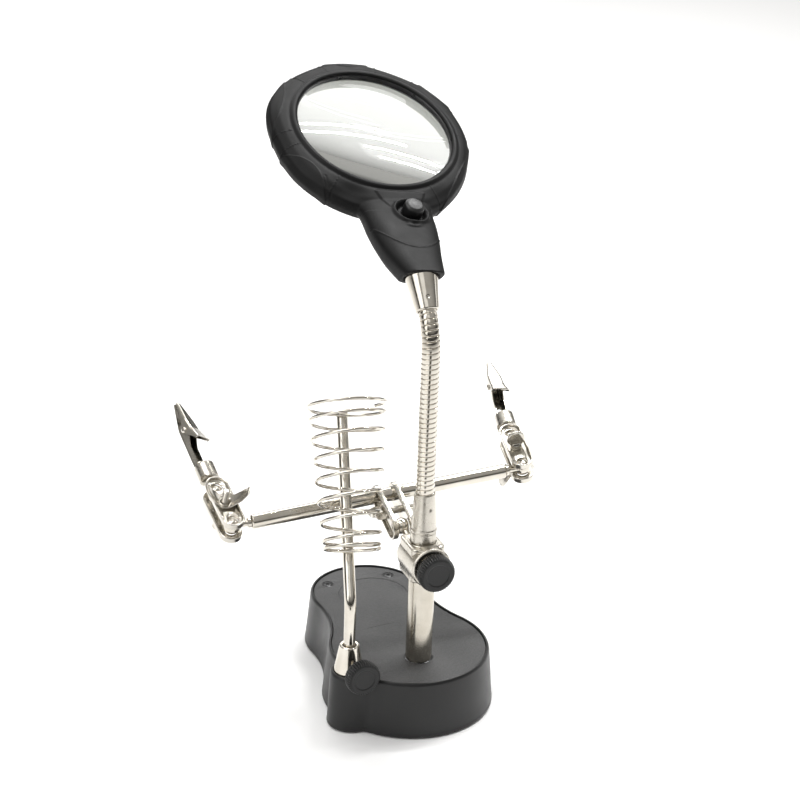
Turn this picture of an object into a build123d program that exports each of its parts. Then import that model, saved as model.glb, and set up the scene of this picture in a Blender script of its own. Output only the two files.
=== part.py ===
from build123d import *
import math
import os

# Bench third hand: weighted base, post, sliding block, cross rod with two
# alligator clips, iron holder and a lit magnifier on a flexible neck.
# Units are millimetres. Origin: centre of the base on the table, +Z up,
# +Y to the back of the base, +X to the right, the cross rod runs along X.

# ---------------------------------------------------------------- dimensions
BASE_H = 33.0            # height of the base rim
BASE_LIFT = 0.8          # gap under the wall that the feet leave
BASE_FRONT_Y = -26.6     # centre of the front lobe
BASE_FRONT_R = 44.9
BASE_REAR_Y = 37.9       # centre of the rear lobe
BASE_REAR_R = 33.6
BASE_WAIST_R = 67.7
BASE_FLARE = 2.9         # the wall leans out by this much at the bottom
WALL = 2.4
RIM_W = 1.7
DECK_Z = 32.0            # top of the deck panel, 1 mm under the rim
BUMP_X, BUMP_Y, BUMP_R_TOP, BUMP_R_BOT = -39.8, -43.4, 11.9, 13.3

CELL_R, CELL_LEN = 5.25, 44.5    # lamp cells
DOOR_PIN = (0.0, 45.0, 2.0)      # hinge line of the battery door

POST_X, POST_Y, POST_R = 0.0, -41.0, 7.25
POST_TOP = 103.0
BLOCK_Z, BLOCK_H = 93.0, 20.0
BLOCK_W = 18.0
KNOB_R = 10.2

ROD_R = 4.0
ROD_HALF = 75.0
ROD_BALL = 85.9          # ball centre from the middle of the rod
BALL_R = 4.5
ROD_C = (-7.9, 3.0, 110.9)
ROD_TILT = 3.85          # degrees, right end up
PLATE_T = 1.2
PLATE_RIM = 2.2
PLATE_R = 6.4
PLATE_PITCH = 26.0       # ball to ball
MID_PITCH = 24.0         # ball to rod in the middle clamp
GAP = 3.45               # inner face of a plate from the ball centre
BOLT_R = 2.0

CLIP_RIVET = 43.0
CLIP_TIP = 63.0
CLIP_TAIL = 33.5

SOCKET_X, SOCKET_Y = -41.5, -43.0
IRON_R = 3.2
IRON_BEND_Z = 73.0
IRON_LEAN, IRON_HEAD = 36.5, 76.0
IRON_LEN = 106.0
WIRE_R = 0.8
COIL_R_TOP, COIL_R_BOT = 21.4, 14.7   # mean radius of the wire

NECK_R = 5.0
NECK_HEAD = 86.5         # heading of the bend, degrees from +X
NECK_STRAIGHT_TOP = 209.0
NECK_BEND_R = 36.0
NECK_ANGLE = 38.0
FERRULE_TOP = 131.5

LENS_C = (11.2, 77.9, 297.3)
LENS_N = (0.088, -0.469, 0.879)
LENS_OPEN_R = 44.4
LENS_R = 46.5
HEAD_R = 57.5
PAD_R = 61.8             # grip pads round the ring
PADS = [(171.0, 197.0), (116.0, 141.0), (-134.0, -86.0), (-68.0, -28.0)]   # their spans, degrees
HEAD_TOP, HEAD_BOT = 2.5, -14.5   # frame faces from the lens plane


# ------------------------------------------------------------------- helpers
def unit(v):
    m = math.sqrt(sum(c * c for c in v))
    return tuple(c / m for c in v)


def dot(a, b):
    return sum(x * y for x, y in zip(a, b))


def cross(a, b):
    return (a[1] * b[2] - a[2] * b[1], a[2] * b[0] - a[0] * b[2], a[0] * b[1] - a[1] * b[0])


def add(a, b, k=1.0):
    return tuple(x + k * y for x, y in zip(a, b))


def ortho(x, z):
    """x made square to z."""
    return unit(add(x, z, -dot(x, z)))


def at(o, x, z):
    """Location whose Z runs along z and whose X runs near x."""
    z = unit(z)
    return Plane(origin=Vector(*o), x_dir=Vector(*ortho(x, z)), z_dir=Vector(*z)).location


def cyl(r, z0, z1, x=0, y=0):
    return Pos(x, y, z0) * Cylinder(r, z1 - z0, align=(Align.CENTER, Align.CENTER, Align.MIN))


def cone(r0, r1, z0, z1, x=0, y=0):
    return Pos(x, y, z0) * Cone(r0, r1, z1 - z0, align=(Align.CENTER, Align.CENTER, Align.MIN))


def box(x0, x1, y0, y1, z0, z1):
    return Pos((x0 + x1) / 2, (y0 + y1) / 2, (z0 + z1) / 2) * Box(x1 - x0, y1 - y0, z1 - z0)


def along_x(r, x0, x1, y=0, z=0):
    return Pos((x0 + x1) / 2, y, z) * Rot(0, 90, 0) * Cylinder(r, x1 - x0)


def along_y(r, y0, y1, x=0, z=0):
    return Pos(x, (y0 + y1) / 2, z) * Rot(90, 0, 0) * Cylinder(r, y1 - y0)


def turned(pts):
    """Solid of revolution about Z from (radius, z) points."""
    f = make_face(Polyline(*[(r, 0, z) for r, z in pts], close=True))
    return revolve(f, Axis.Z)


def slot(pitch, r, z0, z1):
    """Rounded bar along +X from the origin, thickness z0..z1."""
    f = Pos(pitch / 2, 0) * SlotCenterToCenter(pitch, 2 * r)
    return Pos(0, 0, z0) * extrude(f, z1 - z0)


def owire(sk):
    return sk.faces()[0].outer_wire()


def peanut(g=0.0):
    """Outline of the base, grown by g."""
    d = BASE_REAR_Y - BASE_FRONT_Y
    a = BASE_FRONT_R + BASE_WAIST_R
    b = BASE_REAR_R + BASE_WAIST_R
    t = (d * d + a * a - b * b) / (2 * d)
    h = math.sqrt(a * a - t * t)
    wx, wy = h, BASE_FRONT_Y + t
    rf, rr, rw = BASE_FRONT_R + g, BASE_REAR_R + g, BASE_WAIST_R - g
    af = math.atan2(wy - BASE_FRONT_Y, wx)
    ar = math.atan2(wy - BASE_REAR_Y, wx)
    p1 = (rf * math.cos(af), BASE_FRONT_Y + rf * math.sin(af))
    p2 = (rr * math.cos(ar), BASE_REAR_Y + rr * math.sin(ar))
    m = ((p1[0] + p2[0]) / 2 - wx, (p1[1] + p2[1]) / 2 - wy)
    k = rw / math.hypot(*m)
    pm = (wx + m[0] * k, wy + m[1] * k)
    front = ThreePointArc((-p1[0], p1[1]), (0, BASE_FRONT_Y - rf), (p1[0], p1[1]))
    right = ThreePointArc((p1[0], p1[1]), pm, (p2[0], p2[1]))
    rear = ThreePointArc((p2[0], p2[1]), (0, BASE_REAR_Y + rr), (-p2[0], p2[1]))
    left = ThreePointArc((-p2[0], p2[1]), (-pm[0], pm[1]), (-p1[0], p1[1]))
    return make_face(Wire([front, right, rear, left]))


def slab(g0, g1, z0, z1):
    """Base outline grown g0 at z0 and g1 at z1."""
    if abs(g0 - g1) < 1e-6:
        return Pos(0, 0, z0) * extrude(peanut(g0), z1 - z0)
    return Part() + Solid.make_loft([owire(Pos(0, 0, z0) * peanut(g0)), owire(Pos(0, 0, z1) * peanut(g1))], True)


def g_at(z):
    return BASE_FLARE * (1 - z / BASE_H)


def bump_r(z):
    return BUMP_R_BOT + (BUMP_R_TOP - BUMP_R_BOT) * z / BASE_H


NODES = {}


def node(name, *solids):
    out = []
    for s in solids:
        out += list(s.solids())
    NODES[name] = Compound(children=out) if len(out) > 1 else out[0]


# ---------------------------------------------------------------------- base
zl = BASE_LIFT
outer = slab(g_at(zl), 0.0, zl, BASE_H) + cone(bump_r(zl), bump_r(BASE_H), zl, BASE_H, BUMP_X, BUMP_Y)
inner = slab(g_at(zl) - WALL, g_at(26.5) - WALL, zl, 26.5) + cone(bump_r(zl) - WALL, bump_r(26.5) - WALL, zl, 26.5, BUMP_X, BUMP_Y)
deck_cut = slab(-RIM_W, -RIM_W, 29.8, BASE_H) + cyl(BUMP_R_TOP - RIM_W, 29.8, BASE_H, BUMP_X, BUMP_Y)
shell = outer - inner - deck_cut
shell -= cyl(POST_R + 0.1, 20, 34, POST_X, POST_Y) + cyl(3.4, 20, 34, SOCKET_X, SOCKET_Y)
SCREWS = [(-19.0, 54.5), (19.0, 54.5)]
for sx, sy in SCREWS:
    shell += cyl(4.0, 20.0, 27.0, sx, sy)
    shell -= cyl(1.35, 20.0, 34.0, sx, sy)
CORNERS = [(-26.0, -55.0), (26.0, -55.0), (-22.0, 52.0), (22.0, 52.0)]
BOSSES = [(-20.0, -60.0), (33.0, -45.0), (-28.6, 33.0), (28.6, 33.0)]
for bx, by in BOSSES:
    shell += cyl(3.6, 4.0, 27.0, bx, by)
    shell -= cyl(1.3, 4.0, 18.0, bx, by)
node("base_shell", shell)

deck = slab(-RIM_W - 0.1, -RIM_W - 0.1, 29.9, DECK_Z) + cyl(BUMP_R_TOP - RIM_W - 0.1, 29.9, DECK_Z, BUMP_X, BUMP_Y)
deck -= cyl(POST_R + 0.1, 29, 34, POST_X, POST_Y) + cyl(3.4, 29, 34, SOCKET_X, SOCKET_Y)
for sx, sy in SCREWS:
    deck -= cyl(1.6, 29, 34, sx, sy) + cone(1.6, 3.1, 30.6, 32.01, sx, sy)
deck -= Pos(0, 36.5, DECK_Z - 0.5) * (cyl(24.6, 0, 1) - cyl(23.6, 0, 1))
node("deck_panel", deck)

ds = []
for sx, sy in SCREWS:
    s = cyl(1.3, 21.0, 30.9, sx, sy) + cone(1.55, 3.0, 30.65, 32.1, sx, sy)
    s -= box(sx - 1.7, sx + 1.7, sy - 0.3, sy + 0.3, 31.3, 32.2) + box(sx - 0.3, sx + 0.3, sy - 1.7, sy + 1.7, 31.3, 32.2)
    ds.append(s)
node("deck_screws", *ds)

# ballast: iron block that fills the front lobe and part of the rear
w = slab(-7.5, -7.5, 9.0, 26.3) - box(-45, 45, 7.5, 80, 0, 30)
w -= cyl(5.6, 5, 30, POST_X, POST_Y) + cyl(3.4, 5, 30, SOCKET_X, SOCKET_Y)
for bx, by in BOSSES:
    w -= cyl(4.3, 5, 30, bx, by)
for sx, sy in SCREWS:
    w -= cyl(4.6, 5, 30, sx, sy)
node("ballast", max(w.solids(), key=lambda q: q.volume))

cover = slab(g_at(zl) - WALL - 0.4, g_at(4) - WALL - 0.4, 1.6, 3.8)
for bx, by in BOSSES:
    cover -= cyl(1.6, 0, 6, bx, by) + cyl(3.0, 0, 2.4, bx, by)
cover -= box(-23.1, 23.1, 10, 46, 0, 6)
FEET = [(-33.0, -26.0), (33.0, -20.0), (-15.0, 58.0), (15.0, 58.0), (0.0, -62.0), (0.0, 0.0)]
for fx, fy in FEET:
    cover -= cyl(5.1, 0, 2.4, fx, fy)
node("bottom_cover", cover)
node("rubber_feet", *[cyl(4.0, 0, 1, fx, fy) + cyl(5.0, 1.0, 2.4, fx, fy) for fx, fy in FEET])
node("cover_screws", *[cyl(1.25, 2.3, 15.0, bx, by) + cyl(2.8, 1.65, 2.35, bx, by) for bx, by in BOSSES])

# battery tray, door and three cells for the lamp
tray = box(-24.5, 24.5, 9.0, 47.0, 3.95, 18.0) - box(-23.1, 23.1, 10.4, 45.6, 3.0, 16.6)
node("battery_tray", tray)
node("battery_door", box(-22.9, 22.9, 10.2, 45.8, 1.7, 3.7) - box(-8, 8, 11.5, 13.5, 1.0, 2.4))
cells = []
for i, cy in enumerate((16.6, 28.0, 39.4)):
    cells.append(along_x(CELL_R, -22.3, -22.3 + CELL_LEN - 1.0, cy, 10.0) + along_x(1.9, 20.0, -22.3 + CELL_LEN, cy, 10.0))
node("battery_cells", *cells)

# ---------------------------------------------------------------------- post
post = cyl(POST_R, 26.4, POST_TOP, POST_X, POST_Y) + cyl(5.4, 6.0, 26.5, POST_X, POST_Y) - cyl(3.2, 5.0, POST_TOP + 1, POST_X, POST_Y)
node("post", post)
hexn = Pos(POST_X, POST_Y, 5.0) * extrude(RegularPolygon(9.2, 6), 3.9) - cyl(5.45, 4, 10, POST_X, POST_Y)
node("post_nut", hexn)

low = turned([(3.3, 0), (6.9, 0), (6.9, 6.6), (6.55, 7.0), (6.55, 7.5), (6.95, 8.0), (5.7, 28.5), (5.12, 28.5), (5.12, 19.5), (3.3, 19.5)])
node("neck_lower_ferrule", Pos(POST_X, POST_Y, POST_TOP) * low)

# ----------------------------------------------------------- sliding block
bush = cyl(8.6, BLOCK_Z - 9.9, BLOCK_Z + 9.9, POST_X, POST_Y) - cyl(POST_R + 0.06, 70, 110, POST_X, POST_Y)
bush -= box(POST_X - 0.8, POST_X + 0.8, POST_Y + 5, POST_Y + 10, 70, 110)
node("block_bush", bush)
blk = box(-BLOCK_W / 2, BLOCK_W / 2, -9.5, 11.5, -10.0, 9.95)
blk = fillet(blk.edges().filter_by(Axis.Z), 3.0)
blk += cyl(11.0, -10.0, 9.95)
blk += along_y(9.6, -14.0, 0.0)
blk -= cyl(8.66, -12, 12)
blk -= along_y(5.3, -15.0, -11.6)
blk -= along_y(2.55, -16.0, -7.0)
# socket for the ball stud, at the back
STUD_ROOT = (-1.0, 11.0, 3.0)
STUD_BALL = (-4.0, 21.5, 9.5)
stud_dir = unit(add(STUD_BALL, STUD_ROOT, -1))
stud_hole = at(add(STUD_ROOT, stud_dir, -1.0), (1, 0, 0), stud_dir) * cyl(2.55, 0, 9)
blk -= stud_hole
block_loc = Pos(POST_X, POST_Y, BLOCK_Z)
node("post_block", block_loc * blk)

stud_len = math.dist(STUD_ROOT, STUD_BALL)
stud = cyl(2.5, -0.95, 3.5) + cyl(1.9, 3.0, stud_len - 3.4) + Pos(0, 0, stud_len) * Sphere(BALL_R) + cyl(3.1, 3.1, 4.7)
node("ball_stud", block_loc * at(STUD_ROOT, (1, 0, 0), stud_dir) * stud)


def knob(r, t, grooves=24):
    """Knurled knob, seat at z=0, outer face at z=t."""
    k = cyl(r, 0, t)
    k = fillet(k.edges().group_by(Axis.Z)[-1], 1.0)
    k += cone(r * 0.5, r * 0.86, -2.0, 0.01)
    for i in range(grooves):
        a = 2 * math.pi * i / grooves
        k -= Pos((r + 0.55) * math.cos(a), (r + 0.55) * math.sin(a), t / 2) * Cylinder(1.0, t + 1)
    k -= Pos(0, 0, t + 0.01) * cyl(r * 0.62, -0.6, 0)
    return k


front = (0, -1, 0)
node("block_knob", block_loc * at((0, -16.4, 0), (1, 0, 0), front) * (knob(KNOB_R, 6.4) - cyl(2.45, -3, 3.01)))
node("block_screw", block_loc * at((0, -16.4, 0), (1, 0, 0), front) * (cyl(2.45, -7.7, 3.0)))

# ------------------------------------------------------------ middle clamp
ct, st = math.cos(math.radians(ROD_TILT)), math.sin(math.radians(ROD_TILT))
ROD_DIR = (ct, 0.0, st)
MID_BALL = add((POST_X, POST_Y, BLOCK_Z), STUD_BALL)
# the rod passes square through the plates, MID_PITCH behind the ball
s_mid = (MID_BALL[0] - ROD_C[0]) * ct + (MID_BALL[2] - ROD_C[2]) * st
foot = add(ROD_C, ROD_DIR, s_mid)
MID_U = unit(add(foot, MID_BALL, -1))
MID_LEN = math.dist(foot, MID_BALL)
mid_loc = at(MID_BALL, MID_U, ROD_DIR)


def plate(pitch, far_r, side):
    """Tray shaped clamp plate on the +Z side, inner face at GAP."""
    z0, z1, z2 = GAP, GAP + PLATE_T, GAP + PLATE_T + PLATE_RIM
    p = slot(pitch, PLATE_R, z0, z2) - slot(pitch, PLATE_R - 1.1, z1, z2 + 1)
    p -= cyl(3.2, 0, 9) + cyl(far_r, 0, 9, pitch) + cyl(BOLT_R + 0.15, 0, 9, pitch / 2)
    return p if side > 0 else Rot(180, 0, 0) * p


def bolt(length_up, length_down, spade=5.2):
    """Bolt along Z, spade head below -Z."""
    b = cyl(BOLT_R, -length_down, length_up)
    b += Pos(0, 0, -length_down - spade - 0.5) * Rot(90, 0, 0) * Cylinder(spade, 1.8)
    b += cyl(3.3, -length_down - 1.25, -length_down - 0.05)
    return b


def wing(hub=4.4, h=4.6, reach=12.4, lift=6.4):
    """Wing nut, seat at z=0."""
    wn = cone(hub, hub - 0.9, 0, h)
    for s in (1, -1):
        e = max(reach - 5.5, 3.6)
        prof = Plane.XZ * make_face(Polyline((s * 2.6, 2.6), (s * e, 2.7), (s * reach, lift), (s * (reach + 0.5), lift + 4.6),
                                             (s * (reach - 2.2), lift + 5.0), (s * e, h + 2.0), (s * 2.6, h - 0.1), close=True))
        wn += Pos(0, 0.8, 0) * extrude(prof, 1.6, dir=(0, -1, 0))
    wn -= cyl(BOLT_R + 0.2, -1, h + 1)
    return wn


PO = GAP + PLATE_T          # outer floor of a plate
node("mid_clamp_plates", mid_loc * plate(MID_LEN, ROD_R + 0.06, 1), mid_loc * plate(MID_LEN, ROD_R + 0.2, -1))
mb = Pos(MID_LEN / 2, 0, 0) * Rot(0, 180, 0) * Rot(0, 0, 35) * bolt(PO + 8.6, PO)
node("mid_clamp_bolt", mid_loc * mb)
node("mid_wing_nut", mid_loc * Pos(MID_LEN / 2, 0, 0) * Rot(0, 180, 0) * Pos(0, 0, PO + 0.1) * Rot(0, 0, 40) * wing(3.8, 4.4, 6.9, 4.4))

# ---------------------------------------------------------------- cross rod
rod_loc = at(ROD_C, (0, 1, 0), ROD_DIR)
rod = cyl(ROD_R, -ROD_HALF, ROD_HALF)
rod = chamfer(rod.edges(), 0.5)
rod -= cyl(1.55, -ROD_HALF - 1, -ROD_HALF + 8) + cyl(1.55, ROD_HALF - 8, ROD_HALF + 1)
node("cross_rod", rod_loc * rod)
rb = cyl(1.5, ROD_HALF - 7.5, ROD_HALF + 0.6) + cyl(2.0, ROD_HALF + 0.15, ROD_BALL - 3.9) + cyl(2.9, ROD_HALF + 0.15, ROD_HALF + 2.2) + Pos(0, 0, ROD_BALL) * Sphere(BALL_R)
node("right_rod_ball", rod_loc * rb)
node("left_rod_ball", rod_loc * Rot(180, 0, 0) * rb)

# -------------------------------------------------------------- end clamps
SIDES = {
    "left": dict(o=add(ROD_C, ROD_DIR, -ROD_BALL), u=(-0.066, 0.94, 0.335), n=(0.046, -0.335, 0.94), up=1,
                 a=(-0.106, 0.85, 0.505), t=(0.65, -0.33, 0.6465), wing_turn=-20),
    "right": dict(o=add(ROD_C, ROD_DIR, ROD_BALL), u=(0.148, 0.965, 0.2145), n=(-0.185, -0.21, 0.96), up=-1,
                  a=(0.161, 0.913, 0.381), t=(-0.017, -0.363, 0.881), wing_turn=-25),
}


def lower_jaw():
    """Folded sheet jaw, hinge line at z=CLIP_RIVET, teeth face +X."""
    t = 0.6
    body = Plane.XZ * make_face(Polyline((-4.4, 19.4), (-0.6, 19.4), (-0.6, 36.0), (1.6, 40.0), (1.6, 46.0), (-0.15, 49.5), (-0.15, CLIP_TIP), (-1.6, CLIP_TIP), (-4.4, 44.0), close=True))
    b = Pos(0, 6, 0) * extrude(body, 12, dir=(0, -1, 0))
    wide = Plane.YZ * make_face(Polyline((-3.5, 19.3), (3.5, 19.3), (3.5, 48.0), (1.5, CLIP_TIP + 0.1), (-1.5, CLIP_TIP + 0.1), (-3.5, 48.0), close=True))
    b = b & (Pos(-6, 0, 0) * extrude(wide, 12, dir=(1, 0, 0)))
    inner_w = Plane.YZ * make_face(Polyline((-2.9, 18.0), (2.9, 18.0), (2.9, 48.0), (0.9, CLIP_TIP - 0.7), (-0.9, CLIP_TIP - 0.7), (-2.9, 48.0), close=True))
    inner_h = Plane.XZ * make_face(Polyline((-3.8, 18.0), (6, 18.0), (6, 70), (0.0, 70), (-1.0, CLIP_TIP - 1.2), (-3.8, 44.0), close=True))
    c = (Pos(-6, 0, 0) * extrude(inner_w, 14, dir=(1, 0, 0))) & (Pos(0, 6, 0) * extrude(inner_h, 12, dir=(0, -1, 0)))
    b -= c
    b -= Pos(-4, 0, 26.5) * Rot(0, 90, 0) * Cylinder(1.5, 3)
    b -= along_y(1.05, -6, 6, 0, CLIP_RIVET)
    # crimp tube that the barrel holds
    tube = cyl(2.7, 17.0, 21.0) - cyl(2.0, 16.0, 22.0)
    return b + Pos(-1.6, 0, 0) * tube


def upper_jaw():
    body = Plane.XZ * make_face(Polyline((6.6, CLIP_TAIL), (7.6, CLIP_TAIL), (4.9, 42.0), (1.7, CLIP_TIP), (0.15, CLIP_TIP), (0.15, 49.8), (-1.7, 46.0), (-1.7, 40.2), (2.5, 38.0), close=True))
    b = Pos(0, 8, 0) * extrude(body, 16, dir=(0, -1, 0))
    wide = Plane.YZ * make_face(Polyline((-5.4, CLIP_TAIL - 0.1), (5.4, CLIP_TAIL - 0.1), (4.35, 38.5), (4.35, 50.2), (1.5, CLIP_TIP + 0.1), (-1.5, CLIP_TIP + 0.1), (-4.35, 50.2), (-4.35, 38.5), close=True))
    b = b & (Pos(-6, 0, 0) * extrude(wide, 16, dir=(1, 0, 0)))
    inner_w = Plane.YZ * make_face(Polyline((-4.8, 30), (4.8, 30), (3.7, 38.0), (3.7, 50.2), (0.9, CLIP_TIP - 0.9), (-0.9, CLIP_TIP - 0.9), (-3.7, 50.2), (-3.7, 38.0), close=True))
    inner_h = Plane.XZ * make_face(Polyline((-6, 30), (7.9, 30), (6.9, CLIP_TAIL), (4.3, 42.0), (1.1, CLIP_TIP - 1.2), (-6, 70), close=True))
    c = (Pos(-8, 0, 0) * extrude(inner_w, 18, dir=(1, 0, 0))) & (Pos(0, 7, 0) * extrude(inner_h, 14, dir=(0, -1, 0)))
    b -= c
    b -= along_y(1.05, -6, 6, 0, CLIP_RIVET)
    return max(b.solids(), key=lambda q: q.volume)


AX = {}
for side, d in SIDES.items():
    o, n = d["o"], unit(d["n"])
    u = ortho(d["u"], n)
    loc = at(o, u, n)
    k = d["up"]
    flip = Rot(0, 0, 0) if k > 0 else Rot(180, 0, 0)
    node(side + "_clamp_plates", loc * plate(PLATE_PITCH, 3.2, 1), loc * plate(PLATE_PITCH, 3.2, -1))
    mid = Pos(PLATE_PITCH / 2, 0, 0)
    node(side + "_clamp_bolt", loc * mid * flip * Rot(0, 0, 90) * bolt(PO + 9.4, PO))
    node(side + "_wing_nut", loc * mid * flip * Pos(0, 0, PO + 0.1) * Rot(0, 0, 90 + d["wing_turn"]) * wing())
    cb = add(o, u, PLATE_PITCH)
    a = unit(d["a"])
    cl = at(cb, d["t"], a)
    ball = Sphere(BALL_R) + cyl(1.9, 3.8, 14.0) + cyl(2.6, 7.4, 8.6)
    node(side + "_clip_ball", cl * ball)
    barrel = cyl(5.7, 8.8, 19.2) - cyl(2.75, 8, 9.4) - cyl(1.95, 8, 14.2) - cyl(4.9, 14.6, 20)
    barrel = barrel - Pos(0, 0, 8.3) * along_y(2.6, -7, 7)
    node(side + "_clip_barrel", cl * barrel)
    node(side + "_lower_jaw", cl * lower_jaw())
    node(side + "_upper_jaw", cl * upper_jaw())
    rivet = along_y(1.0, -4.7, 4.7, 0, CLIP_RIVET) + along_y(1.7, -5.1, -4.4, 0, CLIP_RIVET) + along_y(1.7, 4.4, 5.1, 0, CLIP_RIVET)
    node(side + "_jaw_rivet", cl * rivet)
    sp = along_y(2.2, -2.3, 2.3, 0, CLIP_RIVET) - along_y(1.3, -3, 3, 0, CLIP_RIVET)
    node(side + "_jaw_spring", cl * sp)
    AX[side] = dict(ball=o, n=n, clip_ball=cb, a=a, t=ortho(d["t"], a), rivet=add(cb, a, CLIP_RIVET))

# -------------------------------------------------------------- iron holder
sock = turned([(0, 0), (8.3, 0), (8.0, 2.0), (6.2, 15.6), (5.6, 16.4), (3.3, 16.4), (3.3, 1.2), (0, 1.2)])
sock += cyl(3.3, -7.0, 0.3)
sock -= cyl(1.4, -8, 0.8)
sd = unit((0.06, -1.0, 0.0))
SCREW_Z = 5.6
sock_hole = at((0, 0, SCREW_Z), (0, 0, 1), sd)
sock -= sock_hole * cyl(1.85, 0, 12)
node("iron_socket", Pos(SOCKET_X, SOCKET_Y, DECK_Z + 0.02) * sock)
node("iron_socket_screw", cyl(1.3, 19.5, DECK_Z, SOCKET_X, SOCKET_Y) + cyl(3.2, 17.6, 19.6, SOCKET_X, SOCKET_Y))
iron_seat = add((SOCKET_X, SOCKET_Y, DECK_Z + 0.02 + SCREW_Z), sd, 15.4)
node("iron_knob", at(iron_seat, (0, 0, 1), sd) * (knob(9.5, 6.4) + cyl(1.8, -12.0, 1.0)))

th, hd = math.radians(IRON_LEAN), math.radians(IRON_HEAD)
IRON_D = (math.sin(th) * math.cos(hd), math.sin(th) * math.sin(hd), math.cos(th))
IRON_B = (SOCKET_X, SOCKET_Y, IRON_BEND_Z)
IRON_END = add(IRON_B, IRON_D, IRON_LEN)
path = FilletPolyline((SOCKET_X, SOCKET_Y, DECK_Z + 1.4), IRON_B, IRON_END, radius=14.0)
iron = sweep(Plane(origin=(SOCKET_X, SOCKET_Y, DECK_Z + 1.4), z_dir=(0, 0, 1)) * Circle(IRON_R), path=path)
iron_n = unit((-math.cos(th) * math.cos(hd), -math.cos(th) * math.sin(hd), math.sin(th)))
node("iron_rod", iron)

# coil: closed rings at both ends and a tapering helix between them
L0, L1 = 27.0, 105.0
TURNS = 7
c0 = add(add(IRON_B, IRON_D, L0), iron_n, COIL_R_BOT + WIRE_R + IRON_R + 0.02)
c1 = add(add(IRON_B, IRON_D, L1), iron_n, COIL_R_TOP + WIRE_R + IRON_R + 0.02)
coil_axis = unit(add(c1, c0, -1))
coil_len = math.dist(c0, c1)
COIL_C0, COIL_C1 = c0, c1
coil_loc = at(c0, tuple(-v for v in iron_n), coil_axis)
cone_ang = math.degrees(math.atan((COIL_R_TOP - COIL_R_BOT) / coil_len))
hel = Helix(pitch=coil_len / TURNS, height=coil_len, radius=COIL_R_BOT, cone_angle=cone_ang)
prof = Plane(origin=hel @ 0, z_dir=hel % 0) * Circle(WIRE_R)
coil = sweep(prof, path=hel, is_frenet=True)
rings = [Torus(COIL_R_BOT, WIRE_R), Pos(0, 0, coil_len) * Torus(COIL_R_TOP, WIRE_R)]
NODES["iron_coil"] = coil_loc * coil

# ------------------------------------------------------------ flexible neck
NH = math.radians(NECK_HEAD)
NHV = (math.cos(NH), math.sin(NH), 0.0)
NECK_X = (math.sin(NH), -math.cos(NH), 0.0)     # hinge axis of the fore and aft bend
J_SIDE, J_LOW, J_HIGH = 143.0, 166.0, 194.0
SEG_GAP = 2.0
node("gooseneck_1", cyl(NECK_R, 122.6, J_SIDE - SEG_GAP, POST_X, POST_Y))
node("gooseneck_2", cyl(NECK_R, J_SIDE + SEG_GAP, J_LOW - SEG_GAP, POST_X, POST_Y))
node("gooseneck_3", cyl(NECK_R, J_LOW + SEG_GAP, J_HIGH - SEG_GAP, POST_X, POST_Y))
na = math.radians(NECK_ANGLE)
arc_end = add((POST_X, POST_Y, NECK_STRAIGHT_TOP + NECK_BEND_R * math.sin(na)), NHV, NECK_BEND_R * (1 - math.cos(na)))
NECK_D = (math.sin(na) * NHV[0], math.sin(na) * NHV[1], math.cos(na))
arc_mid = add((POST_X, POST_Y, NECK_STRAIGHT_TOP + NECK_BEND_R * math.sin(na / 2)), NHV, NECK_BEND_R * (1 - math.cos(na / 2)))
npath = Wire([Line((POST_X, POST_Y, J_HIGH + SEG_GAP), (POST_X, POST_Y, NECK_STRAIGHT_TOP)),
              ThreePointArc((POST_X, POST_Y, NECK_STRAIGHT_TOP), arc_mid, arc_end),
              Line(arc_end, add(arc_end, NECK_D, 8.0))])
node("gooseneck_4", sweep(Plane(origin=(POST_X, POST_Y, J_HIGH + SEG_GAP), z_dir=(0, 0, 1)) * Circle(NECK_R), path=npath))
upf = turned([(5.1, 0), (6.3, 0), (8.7, 18.0), (8.8, 20.0), (3.0, 20.0), (3.0, 9.0), (5.1, 9.0)])
upf_loc = at(arc_end, NECK_X, NECK_D)
node("neck_upper_ferrule", upf_loc * upf)
FER_TOP = add(arc_end, NECK_D, 20.0)

# --------------------------------------------------------- magnifier head
N = unit(LENS_N)
to_f = add(FER_TOP, LENS_C, -1)
W = ortho(to_f, N)
head_loc = at(LENS_C, W, N)              # local X runs from the lens to the neck
S = cross(N, W)
fx, fy, fz = dot(to_f, W), dot(to_f, S), dot(to_f, N)
fd = (dot(NECK_D, W), dot(NECK_D, S), dot(NECK_D, N))   # neck direction, local
ring = turned([(LENS_OPEN_R, HEAD_TOP - 1.5), (LENS_OPEN_R + 2.5, HEAD_TOP), (HEAD_R - 8, HEAD_TOP), (HEAD_R - 3.2, -1.0), (HEAD_R, -6.0),
               (HEAD_R - 2.5, -11.5), (HEAD_R - 8, HEAD_BOT), (LENS_OPEN_R + 1.0, HEAD_BOT), (LENS_OPEN_R, HEAD_BOT + 1.0)])
hsec = []
for x, wd, z0, z1 in ((44.0, 62.0, -13.0, 1.5), (62.0, 48.0, -13.5, 2.5), (78.0, 38.0, -12.5, 5.5), (96.0, 29.0, -10.0, 6.0)):
    hsec.append(owire(Plane(origin=(x, 0, (z0 + z1) / 2), x_dir=(0, 1, 0), z_dir=(1, 0, 0)) * RectangleRounded(wd, z1 - z0, (z1 - z0) * 0.42)))
f_dir_out = unit(tuple(-v for v in fd))
end_o = add((fx, fy, fz), f_dir_out, -0.1)
hsec.append(owire(Plane(origin=Vector(*end_o), x_dir=Vector(*ortho((0, 1, 0), f_dir_out)), z_dir=Vector(*f_dir_out)) * RectangleRounded(21.4, 18.4, 8.2)))
handle = Part() + Solid.make_loft(hsec, False)
pad_ring = turned([(50.0, -13.5), (PAD_R - 4.5, -13.5), (PAD_R - 1.0, -10.5), (PAD_R, -6.0), (PAD_R - 1.6, -2.5), (PAD_R - 5.0, 0.0), (50.0, 0.0)])
head = ring + handle
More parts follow.
